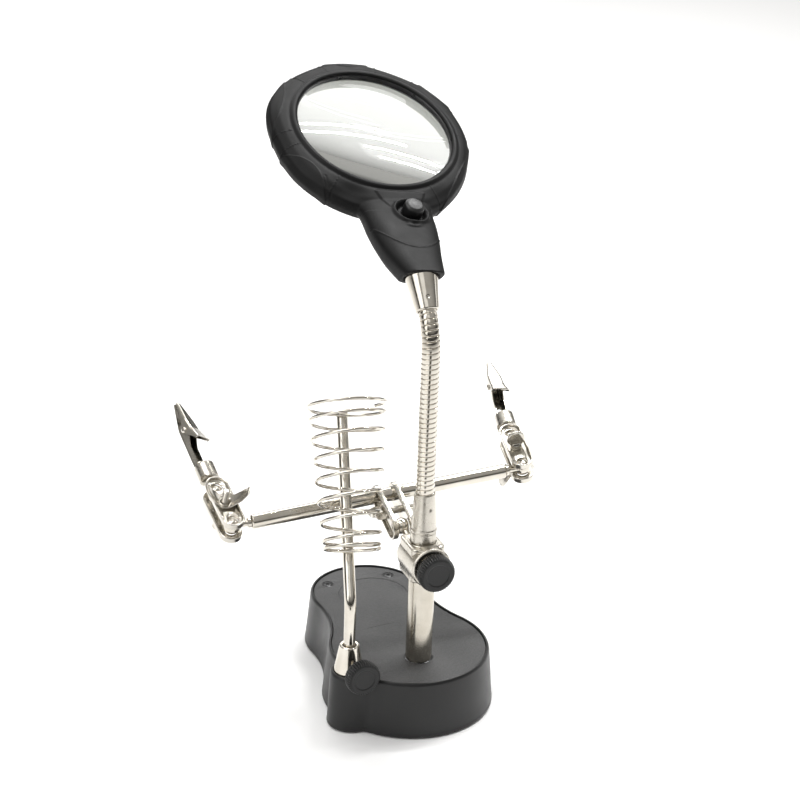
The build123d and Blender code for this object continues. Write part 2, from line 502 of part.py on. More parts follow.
for a0, a1 in PADS:
    b0, b1 = math.radians(a0), math.radians(a1)
    bm_ = (b0 + b1) / 2
    pie = Polyline((0, 0), (80 * math.cos(b0), 80 * math.sin(b0)), (86 * math.cos(bm_), 86 * math.sin(bm_)), (80 * math.cos(b1), 80 * math.sin(b1)), close=True)
    head += pad_ring & (Pos(0, 0, -20) * extrude(make_face(pie), 40))
head -= cyl(LENS_OPEN_R, -30, 10)
groove = cyl(LENS_R + 0.2, -5.6, 0.9)
head -= groove
# hollow for the switch, wires and the lamp board
btn_x, btn_y = 64.6, 6.4
BTN_R = 5.7
cav = box(57.4, 84.0, -7.0, 13.6, -8.6, 1.2)
led_cut = cyl(49.0, -15.0, -9.0) - cyl(45.6, -16, -8)
HEAD_SCREWS = [(-38.7, 33.2), (-38.7, -33.2), (22.0, 46.0), (22.0, -46.0)]
top_half = (head - cav) & box(-70, 130, -70, 70, -3.0, 40)
bot_half = (head - cav - led_cut) & box(-70, 130, -70, 70, -40, -3.1)
top_half -= cyl(BTN_R + 0.3, -2, 12, btn_x, btn_y) + cyl(BTN_R + 0.9, -3.5, 1.2, btn_x, btn_y)
for hx, hy in HEAD_SCREWS:
    top_half -= cyl(1.0, -4.0, 0.0, hx, hy)
    bot_half -= cyl(1.25, -20.0, 0.0, hx, hy) + cyl(2.05, -20.0, -12.4, hx, hy)
node("head_front_shell", head_loc * max(top_half.solids(), key=lambda q: q.volume))
node("head_rear_shell", head_loc * max(bot_half.solids(), key=lambda q: q.volume))
BIG = 270.5
lens = cyl(LENS_R, -3.55, -1.15) + (Pos(0, 0, 1.85 - BIG) * Sphere(BIG) & cyl(LENS_R, -1.2, 3)) + (Pos(0, 0, BIG - 6.55) * Sphere(BIG) & cyl(LENS_R, -8, -3.5))
node("lens", head_loc * lens)
node("lens_ring", head_loc * (cyl(LENS_R - 0.1, -1.1, 0.85) - cyl(LENS_OPEN_R - 0.6, -2, 2)))
node("switch_button", head_loc * Pos(btn_x, btn_y, 0) * (cyl(BTN_R, -0.5, 7.2) + cyl(BTN_R + 0.7, -1.6, -0.4)))
node("switch_body", head_loc * Pos(btn_x, btn_y, 0) * box(-5.5, 5.5, -5.2, 5.2, -8.3, -3.4))
ledn = []
for i in range(8):
    an = math.radians(22.5 + 45 * i)
    ledn.append(cyl(1.5, -13.4, -10.25, 47.3 * math.cos(an), 47.3 * math.sin(an)))
node("lamp_board", head_loc * (cyl(48.9, -10.2, -9.1) - cyl(45.7, -11, -8)), *[head_loc * q for q in ledn])
node("head_screws", *[head_loc * (cyl(0.95, -12.5, -0.1, *p) + cyl(1.95, -13.6, -12.45, *p)) for p in HEAD_SCREWS])

# ----------------------------------------------------------- joint geometry
BUTTON_AT = add(add(LENS_C, W, btn_x), S, btn_y)


if __name__ == "__main__":
    os.makedirs("parts", exist_ok=True)
    for old in os.listdir("parts"):
        if old.endswith(".step"):
            os.remove(os.path.join("parts", old))
    for name, shape in NODES.items():
        export_step(shape, "parts/" + name + ".step")
        print(name, round(shape.volume, 1), len(shape.solids()))
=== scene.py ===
import math
import bpy
import bmesh
import numpy as np
from mathutils import Matrix, Vector, geometry


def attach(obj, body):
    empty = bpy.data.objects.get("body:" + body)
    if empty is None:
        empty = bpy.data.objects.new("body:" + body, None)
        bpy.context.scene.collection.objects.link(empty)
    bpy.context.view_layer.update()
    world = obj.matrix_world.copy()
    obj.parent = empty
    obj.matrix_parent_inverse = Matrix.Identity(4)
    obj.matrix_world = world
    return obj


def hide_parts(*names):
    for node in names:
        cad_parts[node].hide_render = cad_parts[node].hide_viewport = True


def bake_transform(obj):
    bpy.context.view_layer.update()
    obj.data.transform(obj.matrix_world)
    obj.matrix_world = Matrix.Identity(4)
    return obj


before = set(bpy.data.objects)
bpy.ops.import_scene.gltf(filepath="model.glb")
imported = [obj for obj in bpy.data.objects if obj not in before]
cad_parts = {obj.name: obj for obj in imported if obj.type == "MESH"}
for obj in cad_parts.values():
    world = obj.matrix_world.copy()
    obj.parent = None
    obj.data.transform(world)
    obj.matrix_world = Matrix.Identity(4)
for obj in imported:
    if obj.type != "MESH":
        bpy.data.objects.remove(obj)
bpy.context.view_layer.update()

MM = 0.001
TAU = 2 * math.pi


# ------------------------------------------------------------------ materials
def mat_base(name):
    m = bpy.data.materials.new(name)
    m.use_nodes = True
    nt = m.node_tree
    bsdf = nt.nodes["Principled BSDF"]
    tc = nt.nodes.new("ShaderNodeTexCoord")
    return m, nt, bsdf, tc.outputs["Object"]


def noise_tex(nt, co, scale, detail=4.0, rough=0.5, distort=0.0, stretch=None):
    if stretch:
        mp = nt.nodes.new("ShaderNodeMapping")
        mp.inputs["Scale"].default_value = stretch
        nt.links.new(co, mp.inputs["Vector"])
        co = mp.outputs["Vector"]
    t = nt.nodes.new("ShaderNodeTexNoise")
    t.inputs["Scale"].default_value = scale
    t.inputs["Detail"].default_value = detail
    t.inputs["Roughness"].default_value = rough
    t.inputs["Distortion"].default_value = distort
    nt.links.new(co, t.inputs["Vector"])
    return t.outputs["Fac"]


def ramp(nt, fac, stops):
    r = nt.nodes.new("ShaderNodeValToRGB")
    while len(r.color_ramp.elements) < len(stops):
        r.color_ramp.elements.new(0.5)
    for e, (p, c) in zip(r.color_ramp.elements, stops):
        e.position = p
        e.color = (c[0], c[1], c[2], 1.0)
    nt.links.new(fac, r.inputs["Fac"])
    return r.outputs["Color"]


def grey(nt, fac, lo, hi, p0=0.3, p1=0.7):
    r = nt.nodes.new("ShaderNodeMapRange")
    r.inputs["From Min"].default_value = p0
    r.inputs["From Max"].default_value = p1
    r.inputs["To Min"].default_value = lo
    r.inputs["To Max"].default_value = hi
    nt.links.new(fac, r.inputs["Value"])
    return r.outputs["Result"]


def bump(nt, bsdf, height, strength, dist, prev=None):
    b = nt.nodes.new("ShaderNodeBump")
    b.inputs["Strength"].default_value = strength
    b.inputs["Distance"].default_value = dist
    nt.links.new(height, b.inputs["Height"])
    if prev is not None:
        nt.links.new(prev, b.inputs["Normal"])
    nt.links.new(b.outputs["Normal"], bsdf.inputs["Normal"])
    return b.outputs["Normal"]


def metal(name, c0, c1, r0, r1, wave=0.05, fine=0.02, scale=60.0):
    """Plated metal: slow tone drift, uneven polish, long waves in the plate and fine handling marks."""
    m, nt, b, co = mat_base(name)
    b.inputs["Metallic"].default_value = 1.0
    f = noise_tex(nt, co, scale, 5.0, 0.6)
    nt.links.new(ramp(nt, f, [(0.3, c0), (0.7, c1)]), b.inputs["Base Color"])
    g = noise_tex(nt, co, scale * 3.1, 6.0, 0.65, 0.4)
    nt.links.new(grey(nt, g, r0, r1), b.inputs["Roughness"])
    n1 = bump(nt, b, noise_tex(nt, co, scale * 1.6, 2.0), wave, 0.0006)
    bump(nt, b, noise_tex(nt, co, 2600.0, 3.0, 0.6), fine, 0.00008, n1)
    return m


def plastic(name, c0, c1, r0, r1, grain=0.2, gscale=1600.0, gdist=0.00008, spec=0.5, voro=False):
    """Moulded plastic: spark-eroded grain, slow gloss drift."""
    m, nt, b, co = mat_base(name)
    b.inputs["Specular IOR Level"].default_value = spec
    f = noise_tex(nt, co, 45.0, 4.0, 0.55)
    f2 = noise_tex(nt, co, gscale * 0.8, 2.0, 0.6)
    mx = nt.nodes.new("ShaderNodeMath")
    mx.operation = "MULTIPLY_ADD"
    mx.inputs[1].default_value = 0.45
    nt.links.new(f2, mx.inputs[0])
    sc = nt.nodes.new("ShaderNodeMath")
    sc.operation = "MULTIPLY"
    sc.inputs[1].default_value = 0.55
    nt.links.new(f, sc.inputs[0])
    nt.links.new(sc.outputs[0], mx.inputs[2])
    nt.links.new(ramp(nt, mx.outputs[0], [(0.32, c0), (0.68, c1)]), b.inputs["Base Color"])
    nt.links.new(grey(nt, noise_tex(nt, co, 90.0, 5.0, 0.6), r0, r1), b.inputs["Roughness"])
    if voro:
        v = nt.nodes.new("ShaderNodeTexVoronoi")
        v.inputs["Scale"].default_value = gscale
        nt.links.new(co, v.inputs["Vector"])
        n1 = bump(nt, b, v.outputs["Distance"], grain, gdist)
        bump(nt, b, noise_tex(nt, co, gscale * 0.45, 3.0, 0.6), grain * 0.8, gdist * 1.4, n1)
    else:
        bump(nt, b, noise_tex(nt, co, gscale, 3.0, 0.6), grain, gdist)
    return m


NICKEL = metal("nickel_plate", (0.58, 0.54, 0.47), (0.72, 0.685, 0.62), 0.09, 0.17)
NICKEL_SOFT = metal("nickel_satin", (0.50, 0.47, 0.41), (0.62, 0.59, 0.535), 0.20, 0.34, 0.10, 0.05)
NICKEL_STAMP = metal("nickel_stamped", (0.54, 0.51, 0.45), (0.67, 0.64, 0.585), 0.14, 0.27, 0.14, 0.04, 90.0)
# darker copy of the plating for the inside faces of the jaw channel: painted shade
NICKEL_PAINTED_SHADE = metal("nickel_inside_painted_shade", (0.20, 0.185, 0.15), (0.34, 0.32, 0.27), 0.18, 0.30, 0.12, 0.04, 90.0)
POSTM = metal("post_plating", (0.46, 0.425, 0.36), (0.59, 0.555, 0.49), 0.17, 0.27, 0.07, 0.04)
STEEL = metal("zinc_steel", (0.50, 0.50, 0.48), (0.64, 0.63, 0.61), 0.24, 0.38, 0.06, 0.05)
BLACK = plastic("black_moulding", (0.0065, 0.0065, 0.0067), (0.0115, 0.0115, 0.0118), 0.34, 0.43, 0.10, 2200.0, 0.00005, 0.42)
HEADM = plastic("head_moulding", (0.0050, 0.0050, 0.0051), (0.0095, 0.0095, 0.0097), 0.44, 0.56, 0.24, 2000.0, 0.00006, 0.13)
RIM = plastic("rim_moulding", (0.008, 0.008, 0.0085), (0.014, 0.014, 0.0145), 0.25, 0.34, 0.06, 2200.0, 0.00004)
DECK = plastic("deck_grain", (0.036, 0.036, 0.0362), (0.074, 0.074, 0.0745), 0.50, 0.62, 0.55, 1500.0, 0.00018, 0.4, True)
KNOBM = plastic("knob_moulding", (0.0058, 0.0058, 0.0060), (0.0105, 0.0105, 0.0108), 0.36, 0.46, 0.20, 2400.0, 0.00005, 0.40)
RUBBER = plastic("rubber", (0.018, 0.018, 0.018), (0.03, 0.03, 0.03), 0.65, 0.8, 0.25, 1200.0, 0.0001, 0.35)
IRON = plastic("cast_iron", (0.05, 0.05, 0.052), (0.10, 0.10, 0.10), 0.55, 0.75, 0.6, 700.0, 0.0003)
NYLON = plastic("nylon", (0.42, 0.42, 0.39), (0.52, 0.52, 0.49), 0.4, 0.5, 0.1, 900.0, 0.00006)
BOARD = plastic("lamp_board", (0.62, 0.63, 0.60), (0.72, 0.72, 0.70), 0.35, 0.5, 0.1, 900.0, 0.00004)
CELL = plastic("cell_wrap", (0.07, 0.11, 0.20), (0.11, 0.16, 0.27), 0.25, 0.35, 0.05, 600.0, 0.00004)


def lens_glass():
    m, nt, b, co = mat_base("lens_glass")
    b.inputs["Transmission Weight"].default_value = 1.0
    b.inputs["IOR"].default_value = 1.42
    nt.links.new(ramp(nt, noise_tex(nt, co, 25.0, 2.0), [(0.3, (0.700, 0.710, 0.690)), (0.7, (0.725, 0.735, 0.718))]), b.inputs["Base Color"])
    nt.links.new(grey(nt, noise_tex(nt, co, 70.0, 5.0, 0.6), 0.0, 0.012), b.inputs["Roughness"])
    bump(nt, b, noise_tex(nt, co, 28.0, 1.0), 0.02, 0.0002)
    return m


GLASS = lens_glass()


# ------------------------------------------------------------------- geometry
def vec(a):
    return Vector((a[0], a[1], a[2]))


def frame_at(o, x, z):
    z = vec(z).normalized()
    x = vec(x)
    x = (x - z * x.dot(z)).normalized()
    y = z.cross(x)
    return Matrix(((x.x, y.x, z.x, o[0]), (x.y, y.y, z.y, o[1]), (x.z, y.z, z.z, o[2]), (0, 0, 0, 1)))


def rot(axis, deg):
    return Matrix.Rotation(math.radians(deg), 4, axis)


def mov(x, y, z):
    return Matrix.Translation((x, y, z))


def rounded(pts, closed=False, seg=4):
    """Polyline of (a, b[, radius]) with its corners turned into arcs."""
    out = []
    n = len(pts)
    for i, p in enumerate(pts):
        rad = p[2] if len(p) > 2 else 0
        if rad <= 0 or (not closed and i in (0, n - 1)):
            out.append((p[0], p[1]))
            continue
        a, b, c = Vector(pts[i - 1][:2]), Vector(p[:2]), Vector(pts[(i + 1) % n][:2])
        d0, d1 = a - b, c - b
        l0, l1 = d0.length, d1.length
        d0.normalize()
        d1.normalize()
        ang = max(0.05, d0.angle(d1))
        if ang > 3.1:
            out.append((p[0], p[1]))
            continue
        t = min(rad / math.tan(ang / 2), l0 * 0.49, l1 * 0.49)
        r = t * math.tan(ang / 2)
        p0, p1 = b + d0 * t, b + d1 * t
        cen = b + (d0 + d1).normalized() * (r / math.sin(ang / 2))
        v0, v1 = p0 - cen, p1 - cen
        a0 = math.atan2(v0.y, v0.x)
        da = math.atan2(v1.y, v1.x) - a0
        da = (da + math.pi) % TAU - math.pi
        for k in range(seg + 1):
            q = a0 + da * k / seg
            out.append((cen.x + r * math.cos(q), cen.y + r * math.sin(q)))
    return out


class Piece:
    def __init__(self):
        self.v, self.f = [], []

    def add(self, verts, faces, m=None):
        k = len(self.v)
        for p in verts:
            p = Vector(p)
            self.v.append(m @ p if m is not None else p)
        self.f += [[i + k for i in q] for q in faces]
        return self

    def skin(self, loops, m=None, cap0=True, cap1=True, ring=True, close=False):
        n = len(loops[0])
        verts = [p for lp in loops for p in lp]
        faces = []
        rows = len(loops)
        for j in range(rows if close else rows - 1):
            a, b = j * n, ((j + 1) % rows) * n
            for i in range(n if ring else n - 1):
                k = (i + 1) % n
                faces.append((a + i, a + k, b + k, b + i))
        if not close and ring:
            if cap0:
                faces.append(list(range(n))[::-1])
            if cap1:
                faces.append([(rows - 1) * n + i for i in range(n)])
        return self.add(verts, faces, m)

    def lathe(self, prof, m=None, n=64, mod=None, cap=True):
        """prof: (radius, z) list, open. mod(angle, i) gives a radius change."""
        loops = []
        for i, (r, z) in enumerate(prof):
            lp = []
            for k in range(n):
                a = TAU * k / n
                q = max(1e-4, r + (mod(a, i, r, z) if mod else 0))
                lp.append((q * math.cos(a), q * math.sin(a), z))
            loops.append(lp)
        return self.skin(loops, m, cap0=cap, cap1=cap)

    def torus_lathe(self, prof, m=None, n=96, mod=None):
        """Closed section turned right round."""
        loops = []
        for k in range(n):
            a = TAU * k / n
            loops.append([((r + (mod(a, r, z) if mod else 0)) * math.cos(a), (r + (mod(a, r, z) if mod else 0)) * math.sin(a), z) for r, z in prof])
        return self.skin(loops, m, close=True)

    def tube(self, path, rad, m=None, n=16, cap=True, close=False):
        pts = [Vector(p) for p in path]
        L = len(pts)
        loops = []
        nrm = None
        for i, p in enumerate(pts):
            a = pts[(i - 1) % L] if (i > 0 or close) else pts[0]
            b = pts[(i + 1) % L] if (i < L - 1 or close) else pts[-1]
            t = (b - a).normalized()
            if nrm is None:
                nrm = t.orthogonal().normalized()
            nrm = (nrm - t * nrm.dot(t)).normalized()
            bi = t.cross(nrm)
            r = rad(i / (L - 1)) if callable(rad) else rad
            loops.append([p + (nrm * math.cos(TAU * k / n) + bi * math.sin(TAU * k / n)) * r for k in range(n)])
        return self.skin(loops, m, cap0=cap, cap1=cap, close=close)

    def prism(self, outer, holes, z0, z1, bev, m=None, top=True, bottom=True):
        """outer(off) and each hole(off) give 2D loops grown by off. Bevelled plate with holes."""
        lo, hi = z0, z1
        prof = [(-bev, lo), (-bev * 0.3, lo + bev * 0.3), (0, lo + bev), (0, hi - bev), (-bev * 0.3, hi - bev * 0.3), (-bev, hi)]
        self.skin([[(x, y, z) for x, y in outer(o)] for o, z in prof], m, cap0=False, cap1=False)
        for h in holes:
            self.skin([[(x, y, z) for x, y in h(-o)] for o, z in prof], m, cap0=False, cap1=False)
        for on, z, flip in ((top, hi, False), (bottom, lo, True)):
            if on:
                lps = [[Vector((x, y, z)) for x, y in outer(-bev)]] + [[Vector((x, y, z)) for x, y in h(bev)] for h in holes]
                tri = geometry.tessellate_polygon(lps)
                flat = [p for q in lps for p in q]
                self.add(flat, [tuple(t) for t in tri], m)
        return self

    def make(self, name, mat, sharp=38, merge=2e-6):
        me = bpy.data.meshes.new(name)
        me.from_pydata([tuple(p * MM) for p in self.v], [], self.f)
        bm = bmesh.new()
        bm.from_mesh(me)
        bmesh.ops.remove_doubles(bm, verts=bm.verts, dist=merge)
        bmesh.ops.dissolve_degenerate(bm, edges=bm.edges, dist=1e-7)
        bmesh.ops.recalc_face_normals(bm, faces=bm.faces)
        lim = math.radians(sharp)
        for f in bm.faces:
            f.smooth = True
        for e in bm.edges:
            if len(e.link_faces) == 2 and e.calc_face_angle(0) > lim:
                e.smooth = False
        bm.to_mesh(me)
        bm.free()
        me.materials.append(mat)
        o = bpy.data.objects.new(name, me)
        bpy.context.scene.collection.objects.link(o)
        return o


def mark_sharp(o, sharp=38):
    bm = bmesh.new()
    bm.from_mesh(o.data)
    lim = math.radians(sharp)
    for f in bm.faces:
        f.smooth = True
    for e in bm.edges:
        e.smooth = not (len(e.link_faces) == 2 and e.calc_face_angle(0) > lim)
    bm.to_mesh(o.data)
    bm.free()


def bake(o, sharp=None):
    """Apply the modifiers."""
    dg = bpy.context.evaluated_depsgraph_get()
    dg.update()
    me = bpy.data.meshes.new_from_object(o.evaluated_get(dg))
    o.modifiers.clear()
    old = o.data
    o.data = me
    bpy.data.meshes.remove(old)
    if sharp:
        mark_sharp(o, sharp)
    return o


def cut(o, tools, op="DIFFERENCE", sharp=38):
    for t in tools:
        md = o.modifiers.new("b", "BOOLEAN")
        md.operation = op
        md.solver = "EXACT"
        md.object = t
    bake(o, sharp)
    for t in tools:
        bpy.data.objects.remove(t, do_unlink=True)
    return o


def put(o, body, slot, *nodes):
    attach(o, body)
    if nodes:
        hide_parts(*nodes)
    return o


def circle(r, x=0.0, y=0.0, n=40):
    def f(off):
        return [(x + (r + off) * math.cos(TAU * k / n), y + (r + off) * math.sin(TAU * k / n)) for k in range(n)]
    return f


def slot2(pitch, r, n=28):
    def f(off):
        q = r + off
        out = [(pitch + q * math.cos(a), q * math.sin(a)) for a in [-math.pi / 2 + math.pi * k / n for k in range(n + 1)]]
        out += [(q * math.cos(a), q * math.sin(a)) for a in [math.pi / 2 + math.pi * k / n for k in range(n + 1)]]
        return out
    return f


def smooth01(t):
    t = min(1.0, max(0.0, t))
    return t * t * (3 - 2 * t)


# ------------------------------------------------- dimensions shared with CAD
FRONT_Y, FRONT_R, REAR_Y, REAR_R, WAIST_R = -26.6, 44.9, 37.9, 33.6, 67.7
BUMP = (-39.8, -43.4)
BASE_H, DECK_Z = 33.0, 32.0
POST = (0.0, -41.0)
POST_TOP = 103.0
BLOCK_C = (0.0, -41.0, 93.0)
ROD_R = 4.0
ROD_C = (-7.9, 3.0, 110.9)
ROD_DIR = (math.cos(math.radians(3.85)), 0.0, math.sin(math.radians(3.85)))
ROD_HALF, ROD_BALL, BALL_R = 75.0, 85.9, 4.5
GAP, PT, PRIM, PR, PITCH = 3.45, 1.2, 2.2, 6.4, 26.0
PO = GAP + PT
BOLT_R = 2.0
SOCKET = (-41.5, -43.0)
LENS_C = Vector((11.2, 77.9, 297.3))
LENS_N = Vector((0.088, -0.469, 0.879)).normalized()


# ----------------------------------------------------------------------- base
_d = REAR_Y - FRONT_Y
_a, _b = FRONT_R + WAIST_R, REAR_R + WAIST_R
_t = (_d * _d + _a * _a - _b * _b) / (2 * _d)
WX, WY = math.sqrt(_a * _a - _t * _t), FRONT_Y + _t
ANG_F = math.atan2(FRONT_Y - WY, -WX)
ANG_R = math.atan2(REAR_Y - WY, -WX)


def outline(g, rb, n=420, k=3.0):
    """Outer line of the base grown by g, with the socket's bump of radius rb blended in."""
    out = []
    cy = -8.0
    for i in range(n):
        a = TAU * i / n
        ca, sa = math.cos(a), math.sin(a)
        r = np.arange(20.0, 80.0, 0.1)
        x, y = r * ca, cy + r * sa
        ax = np.abs(x)
        d1 = np.hypot(ax, y - FRONT_Y) - FRONT_R
        d2 = np.hypot(ax, y - REAR_Y) - REAR_R
        sd = np.minimum(d1, d2)
        th = np.arctan2(y - WY, ax - WX)
        th = np.where(th < 0, th + TAU, th)
        lo, hi = sorted(((ANG_F + TAU) % TAU, (ANG_R + TAU) % TAU))
        inw = (th > lo) & (th < hi) & (ax < WX)
        sd = np.where(inw, WAIST_R - np.hypot(ax - WX, y - WY), sd) - g
        db = np.hypot(x - BUMP[0], y - BUMP[1]) - rb
        h = np.clip(0.5 + 0.5 * (db - sd) / k, 0, 1)
        s = db * (1 - h) + sd * h - k * h * (1 - h)
        inside = np.nonzero(s <= 0)[0]
        j = int(inside[-1])
        t = s[j] / (s[j] - s[j + 1]) if j + 1 < len(s) else 0
        q = r[j] + 0.1 * t
        out.append((q * ca, cy + q * sa))
    return out


def grow(z):
    return 2.9 * (1 - z / BASE_H)


def bump_r(z):
    return 13.3 + (11.9 - 13.3) * z / BASE_H


base_prof = rounded([(-3.0, 4.2), (-2.6, 0.9, 0.2), (grow(0.8), 0.8, 0.5), (grow(2.4) + 0.05, 2.4, 0.3), (grow(2.9) - 0.05, 2.9, 0.2), (0.02, 31.6, 4.0), (-0.85, 33.0, 0.75), (-1.75, 32.9, 0.35), (-1.85, 30.3)], seg=5)
walls = []
for g, z in base_prof:
    walls.append([(x, y, z) for x, y in outline(g, (bump_r(z) + (g - grow(z))))])
base = Piece().skin(walls).make("base_moulding", BLACK, 40)
put(base, "stand", "black_plastic", "base_shell")

deck_line = lambda off: outline(-1.98 + off, bump_r(DECK_Z) - 1.98 + off)
dk = Piece()
dl = [outline(-1.98, bump_r(32) - 1.98), outline(-1.98, bump_r(32) - 1.98), outline(-2.25, bump_r(32) - 2.25)]
dk.skin([[(x, y, z) for x, y in q] for q, z in zip(dl, (30.0, 31.7, 32.0))], cap1=False)
SCREWS = [(-19.0, 54.5), (19.0, 54.5)]
GC = (0.0, 36.5)


def ringpts(r, z, x, y, n=120):
    return [(x + r * math.cos(TAU * k / n), y + r * math.sin(TAU * k / n), z) for k in range(n)]


GR = 20.6
GC = (2.2, 34.6)


def dish(r, dz):
    """Ring of points whose depth fades to nothing at the front."""
    out = []
    for k in range(120):
        a = TAU * k / 120
        f = smooth01((math.sin(a) + 0.62) / 0.55)
        out.append((GC[0] + r * math.cos(a), GC[1] + r * math.sin(a), 32.0 + dz * f))
    return out


outer_loop = [Vector((x, y, 32.0)) for x, y in dl[2]]
tri = geometry.tessellate_polygon([outer_loop, [Vector(p) for p in dish(GR, 0)]] + [[Vector(p) for p in ringpts(3.55, 32, sx, sy, 32)] for sx, sy in SCREWS])
flat = list(outer_loop) + [Vector(p) for p in dish(GR, 0)]
for sx, sy in SCREWS:
    flat += [Vector(p) for p in ringpts(3.55, 32, sx, sy, 32)]
dk.add(flat, [tuple(t) for t in tri])
dk.skin([dish(GR + r, z) for r, z in ((0, 0), (-0.2, -0.08), (-0.5, -0.42), (-0.9, -0.5), (-1.3, -0.42), (-1.9, -0.22), (-2.6, -0.12), (-6.0, -0.05), (-12.0, 0.0))], cap0=False, cap1=True)
for sx, sy in SCREWS:
    dk.skin([ringpts(r, z, sx, sy, 32) for r, z in ((3.55, 32), (3.35, 31.9), (3.2, 31.5), (1.7, 30.5))], cap0=False, cap1=True)
# faint moulding line across the deck
arc = []
for k in range(41):
    t = k / 40
    x = -24 + 34 * t
    arc.append((x, -6.5 + 5.2 * math.sin(math.pi * (0.08 + 0.66 * t)), 31.96))
dk.tube(arc, lambda t: 0.16 * math.sin(math.pi * min(1, max(0.02, t))) + 0.02, n=8)
deck = dk.make("deck_face", DECK, 30, 1e-6)
put(deck, "stand", "deck_plastic", "deck_panel")

# small vent dot in the deck
dot = Piece().lathe(rounded([(0.02, 31.85), (0.75, 31.9), (0.95, 32.03, 0.05), (1.25, 32.06, 0.05), (1.3, 31.9)]), mov(24.5, -24.0, 0), 28).make("deck_dot", RIM)
put(dot, "stand", "deck_plastic")

for i, (sx, sy) in enumerate(SCREWS):
    h = Piece().lathe(rounded([(0.0, 29.0), (1.3, 29.0), (1.3, 30.4), (2.55, 31.0, 0.2), (2.7, 31.45, 0.15), (1.9, 31.75, 0.5), (0.0, 31.85)], seg=4), mov(sx, sy, 0), 48).make("deck_screw_%d" % (i + 1), STEEL)
    ts = []
    for q in (0, 90):
        c = Piece().skin([[(-l, -w, z), (l, -w, z), (l, w, z), (-l, w, z)] for l, w, z in ((0.8, 0.2, 30.8), (1.45, 0.34, 32.1))], mov(sx, sy, 0) @ rot("Z", q + 20)).make("cutter", STEEL)
        ts.append(c)
    cut(h, ts)
    put(h, "stand", "black_plastic", *(["deck_screws"] if i == 0 else []))
    h.data.materials.clear()
    h.data.materials.append(RIM)

# ----------------------------------------------------------------------- post
P = Piece().lathe(rounded([(0.0, 31.0), (7.25, 31.0), (7.25, 102.4, 0.3), (6.6, 103.0), (0, 103.0)], seg=4), mov(POST[0], POST[1], 0), 96)
post = P.make("post_column", POSTM)
put(post, "stand", "nickel_plate", "post")
base_ring = Piece().lathe(rounded([(7.2, 31.9), (7.95, 31.9), (8.0, 32.15, 0.1), (7.28, 32.35)], seg=3), mov(POST[0], POST[1], 0), 72, cap=False).make("post_seat_edge", RIM)
put(base_ring, "stand", "black_plastic")


def dimple(depth, ang, zc, rr):
    def f(a, i, r, z):
        da = (a - ang + math.pi) % TAU - math.pi
        d = math.hypot(da * r, z - zc) / rr
        return -depth * math.exp(-d * d * 2.2) if d < 2.4 else 0.0
    return f


lf = [(5.2, 28.6), (5.75, 28.6, 0.15)] + [(5.75 + (6.9 - 5.75) * t, 28.3 - 19.6 * t) for t in np.linspace(0.02, 1, 40)]
lf += [(6.95, 8.6, 0.3), (7.25, 8.2, 0.25), (7.25, 7.1, 0.25), (6.8, 6.8, 0.2), (6.8, 6.3, 0.2), (7.0, 6.0, 0.2), (7.0, 0.0)]
dm = dimple(0.75, math.radians(-80), 21.0, 0.95)
lfer = Piece().lathe(rounded(lf[::-1], seg=4), mov(POST[0], POST[1], POST_TOP), 144, mod=dm, cap=False)
lfer = lfer.make("lower_ferrule", NICKEL_SOFT)
put(lfer, "stand", "nickel_plate", "neck_lower_ferrule")

# ---------------------------------------------------------------------- block
bl = Piece()


def rbox(x0, x1, y0, y1, r, off, n=8):
    x0, x1, y0, y1, q = x0 - off, x1 + off, y0 - off, y1 + off, max(0.3, r + off)
    out = []
    for cx, cy, a in ((x1 - q, y0 + q, -90), (x1 - q, y1 - q, 0), (x0 + q, y1 - q, 90), (x0 + q, y0 + q, 180)):
        for k in range(n + 1):
            t = math.radians(a + 90 * k / n)
            out.append((cx + q * math.cos(t), cy + q * math.sin(t)))
    return out


B = mov(*BLOCK_C)
zb = [(-10.0, -0.9), (-9.75, -0.35), (-9.2, -0.05), (-8.8, 0), (8.8, 0), (9.3, -0.05), (9.75, -0.35), (9.95, -0.9)]
bl.skin([[(x, y, z) for x, y in rbox(-9.6, 9.6, -9.5, 11.5, 3.2, o)] for z, o in zb], B)
blk = bl.make("block_body", NICKEL_SOFT)
boss = Piece().lathe(rounded([(0.0, -9.0), (11.2, -9.0), (11.2, 12.7, 0.6), (10.4, 13.7, 0.7), (8.4, 13.7, 0.35), (8.1, 10.6, 0.2), (0.0, 10.6)], seg=5), B @ frame_at((0, 0, 0), (1, 0, 0), (0, -1, 0)), 96).make("boss", NICKEL_SOFT)
trim = Piece().skin([[(x, y, z) for x, y in rbox(-12, 12, -16, 12, 0.4, 0)] for z in (-9.95, 11.3)], B).make("trim", NICKEL_SOFT)
cut(boss, [trim], "INTERSECT")
cut(blk, [boss], "UNION")
hole = Piece().lathe([(0, -12), (8.3, -12), (8.3, 12), (0, 12)], B, 72).make("hole", NICKEL_SOFT)
cut(blk, [hole])
put(blk, "post_block", "nickel_plate", "post_block")
collar = Piece().torus_lathe(rounded([(7.35, -9.8), (8.25, -9.8), (8.25, 10.1), (8.0, 10.35), (7.35, 10.35)], closed=True), B, 96).make("bush_sleeve", NICKEL_SOFT)
put(collar, "block_bush", "nickel_plate", "block_bush")


